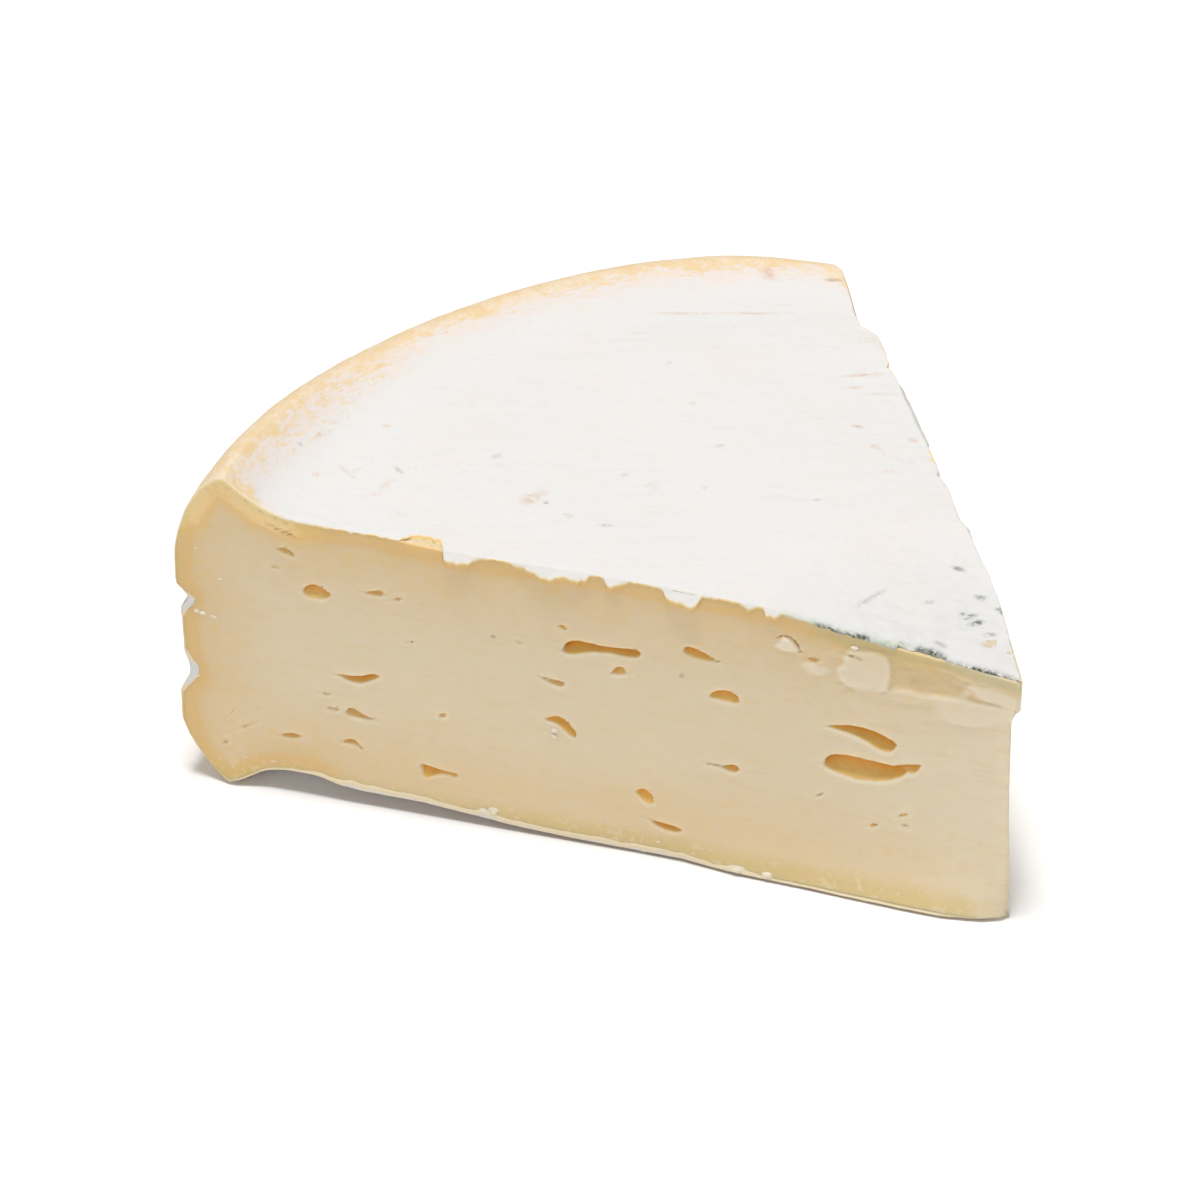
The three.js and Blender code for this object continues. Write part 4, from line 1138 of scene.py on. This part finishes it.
def makeRind(material):
    # an outer sheet with folded edges over an inner one, joined all round
    r = rind
    along, counts = sheetRows(r["topRows"], r["rimRows"], r["baseRows"])
    reaches = hemReach(along, False), hemReach(along, True)
    outer, first, facing, sheet = rindSheet(along, counts, *reaches, r["outerInset"], True)
    relief, crease = rindRelief(outer, sheet)
    values = rindTones(outer, sheet, crease)
    outer = outer + facing * relief[:, None]

    innerAlong, innerCounts = sheetRows(r["innerTop"], r["innerRim"], r["innerBase"])
    back = np.full(len(innerAlong), -r["innerInset"])
    inner, innerFirst, _, _ = rindSheet(innerAlong, innerCounts, back, back, r["thickness"], False)

    runs = [np.arange(a, a + n) for a, n in zip(first, counts)]
    innerRuns = [len(outer) + np.arange(a, a + n) for a, n in zip(innerFirst, innerCounts)]
    faces = [strip(a, b) for a, b in zip(runs, runs[1:])]
    faces += [strip(a, b)[:, ::-1] for a, b in zip(innerRuns, innerRuns[1:])]
    edges = [np.array([run[side] for run in group]) for group in (runs, innerRuns) for side in (0, -1)]
    faces.append(strip(edges[0], edges[2], along, innerAlong))
    faces.append(strip(edges[3], edges[1], innerAlong, along))
    values = {key: np.concatenate([seen, np.zeros(len(inner))]) for key, seen in values.items()}
    return makePiece("rind", np.concatenate([outer, inner]), np.concatenate(faces), values, material)


def rindFinish():
    # white felt over ochre skin, with the marks, mould and gold that the attributes place
    f = Finish("bloomyRind", Roughness=0.92, Specular_IOR_Level=rind["gloss"])
    grain, mottle, cloud = f.noise(0.55, 3, 0.65), f.noise(3.2, 3, 0.6), f.noise(13, 3, 0.5, shift=7.0)
    streak = f.noise(1, 3, 0.6, (9, 0.9, 3), rind["matTurn"])
    bare, specks = f.attribute("bare"), f.attribute("specks")
    alongRim = f.node("ShaderNodeCombineXYZ", {}, {0: f.attribute("round"), 1: f.attribute("along"), 2: 0.0})
    flecks = f.noise(1, 4, 0.65, (2.2, 0.75, 1), place=alongRim)
    islands = f.noise(1, 3, 0.6, (4.5, 2.0, 1), place=alongRim)

    # white felt, faintly blushed, pinker towards the band, with painted shade in faint streaks and mottles
    # along the mat lines, in the creases and over the crumpled skin
    blush = f.rise(bare + (mottle - 0.5) * 5 + (islands - 0.5) * 5, -7.0, 1.0) * 0.7
    blush = blush + f.rise(cloud * 0.6 + mottle * 0.4, 0.48, 0.66) * f.rise(grain, 0.35, 0.65) * 0.5
    base = f.mix(blush, rind["white"], rind["pink"])
    feltShade = f.rise(streak * 0.5 + f.noise(1.1, 4, 0.7, shift=3.0) * 0.5, 0.5, 0.72) * 0.3
    base = f.mix(feltShade + f.attribute("crease") * 0.4, base, rind["shade"])

    # the bare ochre band: solid at the lip, breaking into islands, then flecks
    lobes = f.noise(7, 2, 0.5, shift=11.0)
    ragged = (islands - 0.5) * 6 + (flecks - 0.5) * 5 + (lobes - 0.5) * 9
    solid = f.rise(bare + ragged, -0.6, 0.9)
    scattered = f.rise(flecks + specks * 0.22 + (grain - 0.5) * 0.3, 0.66, 0.76)
    scattered = scattered * f.rise(specks, 0.0, 0.35) * 0.75
    grown = f.rise(f.noise(0.9, 4, 0.75, shift=5.0), 0.46, 0.6) * f.rise(lobes + mottle, 1.05, 0.8) * 0.6
    solid = f.maths("MAXIMUM", solid * (1 - grown), scattered)
    ochre = f.mix(f.rise(mottle + (grain - 0.5) * 0.8, 0.4, 0.65), rind["ochre"], rind["peach"])
    base = f.mix(solid * (1 - f.attribute("bloom")), base, ochre)

    # growth, the hanging hem, the cut edge's gold, and the marks over them all
    base = f.mix(f.attribute("bloom"), base, rind["bloom"])
    base = f.mix(f.attribute("hang") * 0.8, base, rind["hem"])
    # the brown underside by the first cut: its own brown and painted shade for the shadow under the front
    # edge
    base = f.mix(f.attribute("under"), base, rind["under"])
    gold = f.attribute("gold")
    base = f.mix(f.rise(gold, 0.0, 0.4), base, f.mix(f.rise(gold, 0.5, 1.0), rind["cream"], rind["gold"]))
    stained = f.attribute("stain") * f.rise(grain + (mottle - 0.5) * 0.6, 0.3, 0.6)
    base = f.mix(stained * 0.85, base, rind["stain"])
    base = f.mix(f.attribute("green") * f.rise(mottle, 0.3, 0.6), base, rind["green"])
    base = f.mix(f.attribute("mould") * f.rise(grain, 0.3, 0.55), base, rind["mould"])
    f.set(Base_Color=base)
    f.bump(grain * 0.6 + streak * 0.4, rind["relief"])
    return f.material


crumbs = {"seed": 5, "rings": 7, "around": 12, "lumpiness": 0.45, "sunk": 0.2, "shape": (1.2, 0.55, 0.75),
          "lowest": 0.1, "relief": 0.05, "colour": colour(230, 220, 200)}

# crumbs stuck to the first cut: distance from the tip, height, size, how many, how far they spread
crumbPlaces = (
    (73.1, 2.3, 0.7, 4, 0.45), (71.7, 2.4, 0.5, 3, 0.3), (37.3, 0.9, 0.75, 4, 0.4), (36.4, 0.8, 0.5, 3, 0.4),
    (33.1, 0.8, 0.65, 3, 0.4), (63.1, 17.5, 0.6, 2, 0.2), (62.9, 16.4, 0.45, 2, 0.2),
    (22.4, 38.3, 0.5, 2, 0.3), (113.1, 37.4, 0.32, 1, 0.2), (109.9, 32.8, 0.3, 1, 0.2),
    (105.2, 29.3, 0.26, 1, 0.1), (113.4, 27.2, 0.6, 2, 0.3), (112.2, 26.8, 0.45, 2, 0.3),
    (111, 26.5, 0.3, 2, 0.4), (113.6, 16.5, 0.4, 2, 0.8), (107, 4.6, 0.3, 2, 1), (103, 4.9, 0.28, 2, 1),
    (92, 3.4, 0.32, 2, 1.2), (50, 1.4, 0.35, 3, 2.5),
)


def makeCrumbs(material):
    # each crumb is a ball of rings, stretched by chance, its radius changed by noise of the direction
    c = crumbs
    rng = np.random.default_rng(c["seed"])
    each = np.array(crumbPlaces)
    each = np.repeat(each, each[:, 3].astype(int), axis=0)
    middles, size, spread = each[:, :2], each[:, 2], each[:, 4]
    middles = middles + rng.normal(0, 0.5, middles.shape) * spread[:, None]
    size = size * rng.uniform(0.55, 1.15, len(size))
    polar = np.linspace(0, math.pi, c["rings"] + 2)[1:-1]
    turn = np.arange(c["around"]) * 2 * math.pi / c["around"]
    ring = np.stack([np.outer(np.sin(polar), np.cos(turn)), np.outer(np.sin(polar), np.sin(turn)),
                     np.outer(np.cos(polar), np.ones_like(turn))], -1).reshape(-1, 3)
    ball = np.concatenate([ring, [(0, 0, 1), (0, 0, -1)]])
    bumps = 1 + c["lumpiness"] * noise(ball[None] + np.arange(len(size))[:, None, None] * 3.7, 0.8, 111, 2)
    stretch = rng.uniform(0.7, 1.2, (len(size), 1, 3)) * size[:, None, None] * c["shape"]
    shapes = ball[None] * bumps[..., None] * stretch
    centres = np.stack([-middles[:, 0], pasteInset(middles[:, 0]) + c["sunk"] * size, middles[:, 1]], -1)
    points = (shapes + centres[:, None]).reshape(-1, 3)
    points[:, 2] = np.maximum(points[:, 2], c["lowest"])

    around, rings = c["around"], c["rings"]
    index = np.arange(around * rings).reshape(rings, around)
    index = np.concatenate([index, index[:, :1]], 1)
    top, bottom = around * rings, around * rings + 1
    caps = [np.stack([np.full(around, top), index[0, :-1], index[0, 1:]], -1),
            np.stack([np.full(around, bottom), index[-1, 1:], index[-1, :-1]], -1)]
    one = np.concatenate([gridFaces(index[::-1]), *caps])
    faces = (one[None] + (np.arange(len(size)) * len(ball))[:, None, None]).reshape(-1, 3)
    return makePiece("crumbs", points, faces, {}, material)


def crumbFinish():
    # dry pale paste
    f = Finish("paleCrumb", Roughness=0.8)
    grain = f.noise(0.4, 3, 0.6)
    f.set(Base_Color=f.mix(f.rise(grain, 0.3, 0.7) * 0.4, crumbs["colour"], paste["ivoryPale"]))
    f.bump(grain, crumbs["relief"])
    return f.material


# sizes in metres, power in watts
studio = {
    "floorReach": 2.0, "floorUnder": 0.0003, "paper": (0.96, 0.96, 0.96, 1), "sky": 0.3,
    "lights": (
        ("softboxAbove", (-0.05, -0.12, 1.5), 19.3, 0.45),
        ("softboxFront", (-0.1, -1.35, 0.75), 3.7, 0.8),
    ),
}


def floorAndLight():
    # a pale paper floor, an even white sky and soft square lights that face the wedge
    reach = studio["floorReach"]
    mesh = bpy.data.meshes.new("floor")
    corners = [(-reach, -reach), (reach, -reach), (reach, reach), (-reach, reach)]
    mesh.from_pydata([(x, y, -studio["floorUnder"]) for x, y in corners], [], [(0, 1, 2, 3)])
    floor = bpy.data.objects.new("floor", mesh)
    bpy.context.scene.collection.objects.link(floor)
    finish = Finish("palePaper", Roughness=0.9, Base_Color=studio["paper"])
    mesh.materials.append(finish.material)

    world = bpy.data.worlds.new("studio")
    world.use_nodes = True
    world.node_tree.nodes["Background"].inputs["Color"].default_value = (1, 1, 1, 1)
    world.node_tree.nodes["Background"].inputs["Strength"].default_value = studio["sky"]
    bpy.context.scene.world = world

    for name, place, power, width in studio["lights"]:
        data = bpy.data.lights.new(name, "AREA")
        data.energy, data.size = power, width
        light = bpy.data.objects.new(name, data)
        light.location = place
        light.rotation_euler = (-Vector(place)).to_track_quat("-Z", "Y").to_euler()
        bpy.context.scene.collection.objects.link(light)


# place and target in millimetres from the tip
camera = {"place": (100.65, -525.31, 395.65), "target": (-73.98, 58.37, 0.0), "lens": 150, "sensor": 36}


def makeCamera():
    # it looks from its place straight at the target
    data = bpy.data.cameras.new("camera")
    data.lens, data.sensor_width = camera["lens"], camera["sensor"]
    data.clip_start, data.clip_end = 0.01, 10
    viewer = bpy.data.objects.new("camera", data)
    place, target = (Vector(toFrame(np.array(camera[key]))) for key in ("place", "target"))
    viewer.location = place
    viewer.rotation_euler = (target - place).to_track_quat("-Z", "Y").to_euler()
    bpy.context.scene.collection.objects.link(viewer)
    bpy.context.scene.camera = viewer


bpy.context.scene.view_settings.view_transform = "Standard"
makeCamera()
floorAndLight()
print("stage ready")
makePaste(pasteFinish())
makeRind(rindFinish())
makeCrumbs(crumbFinish())
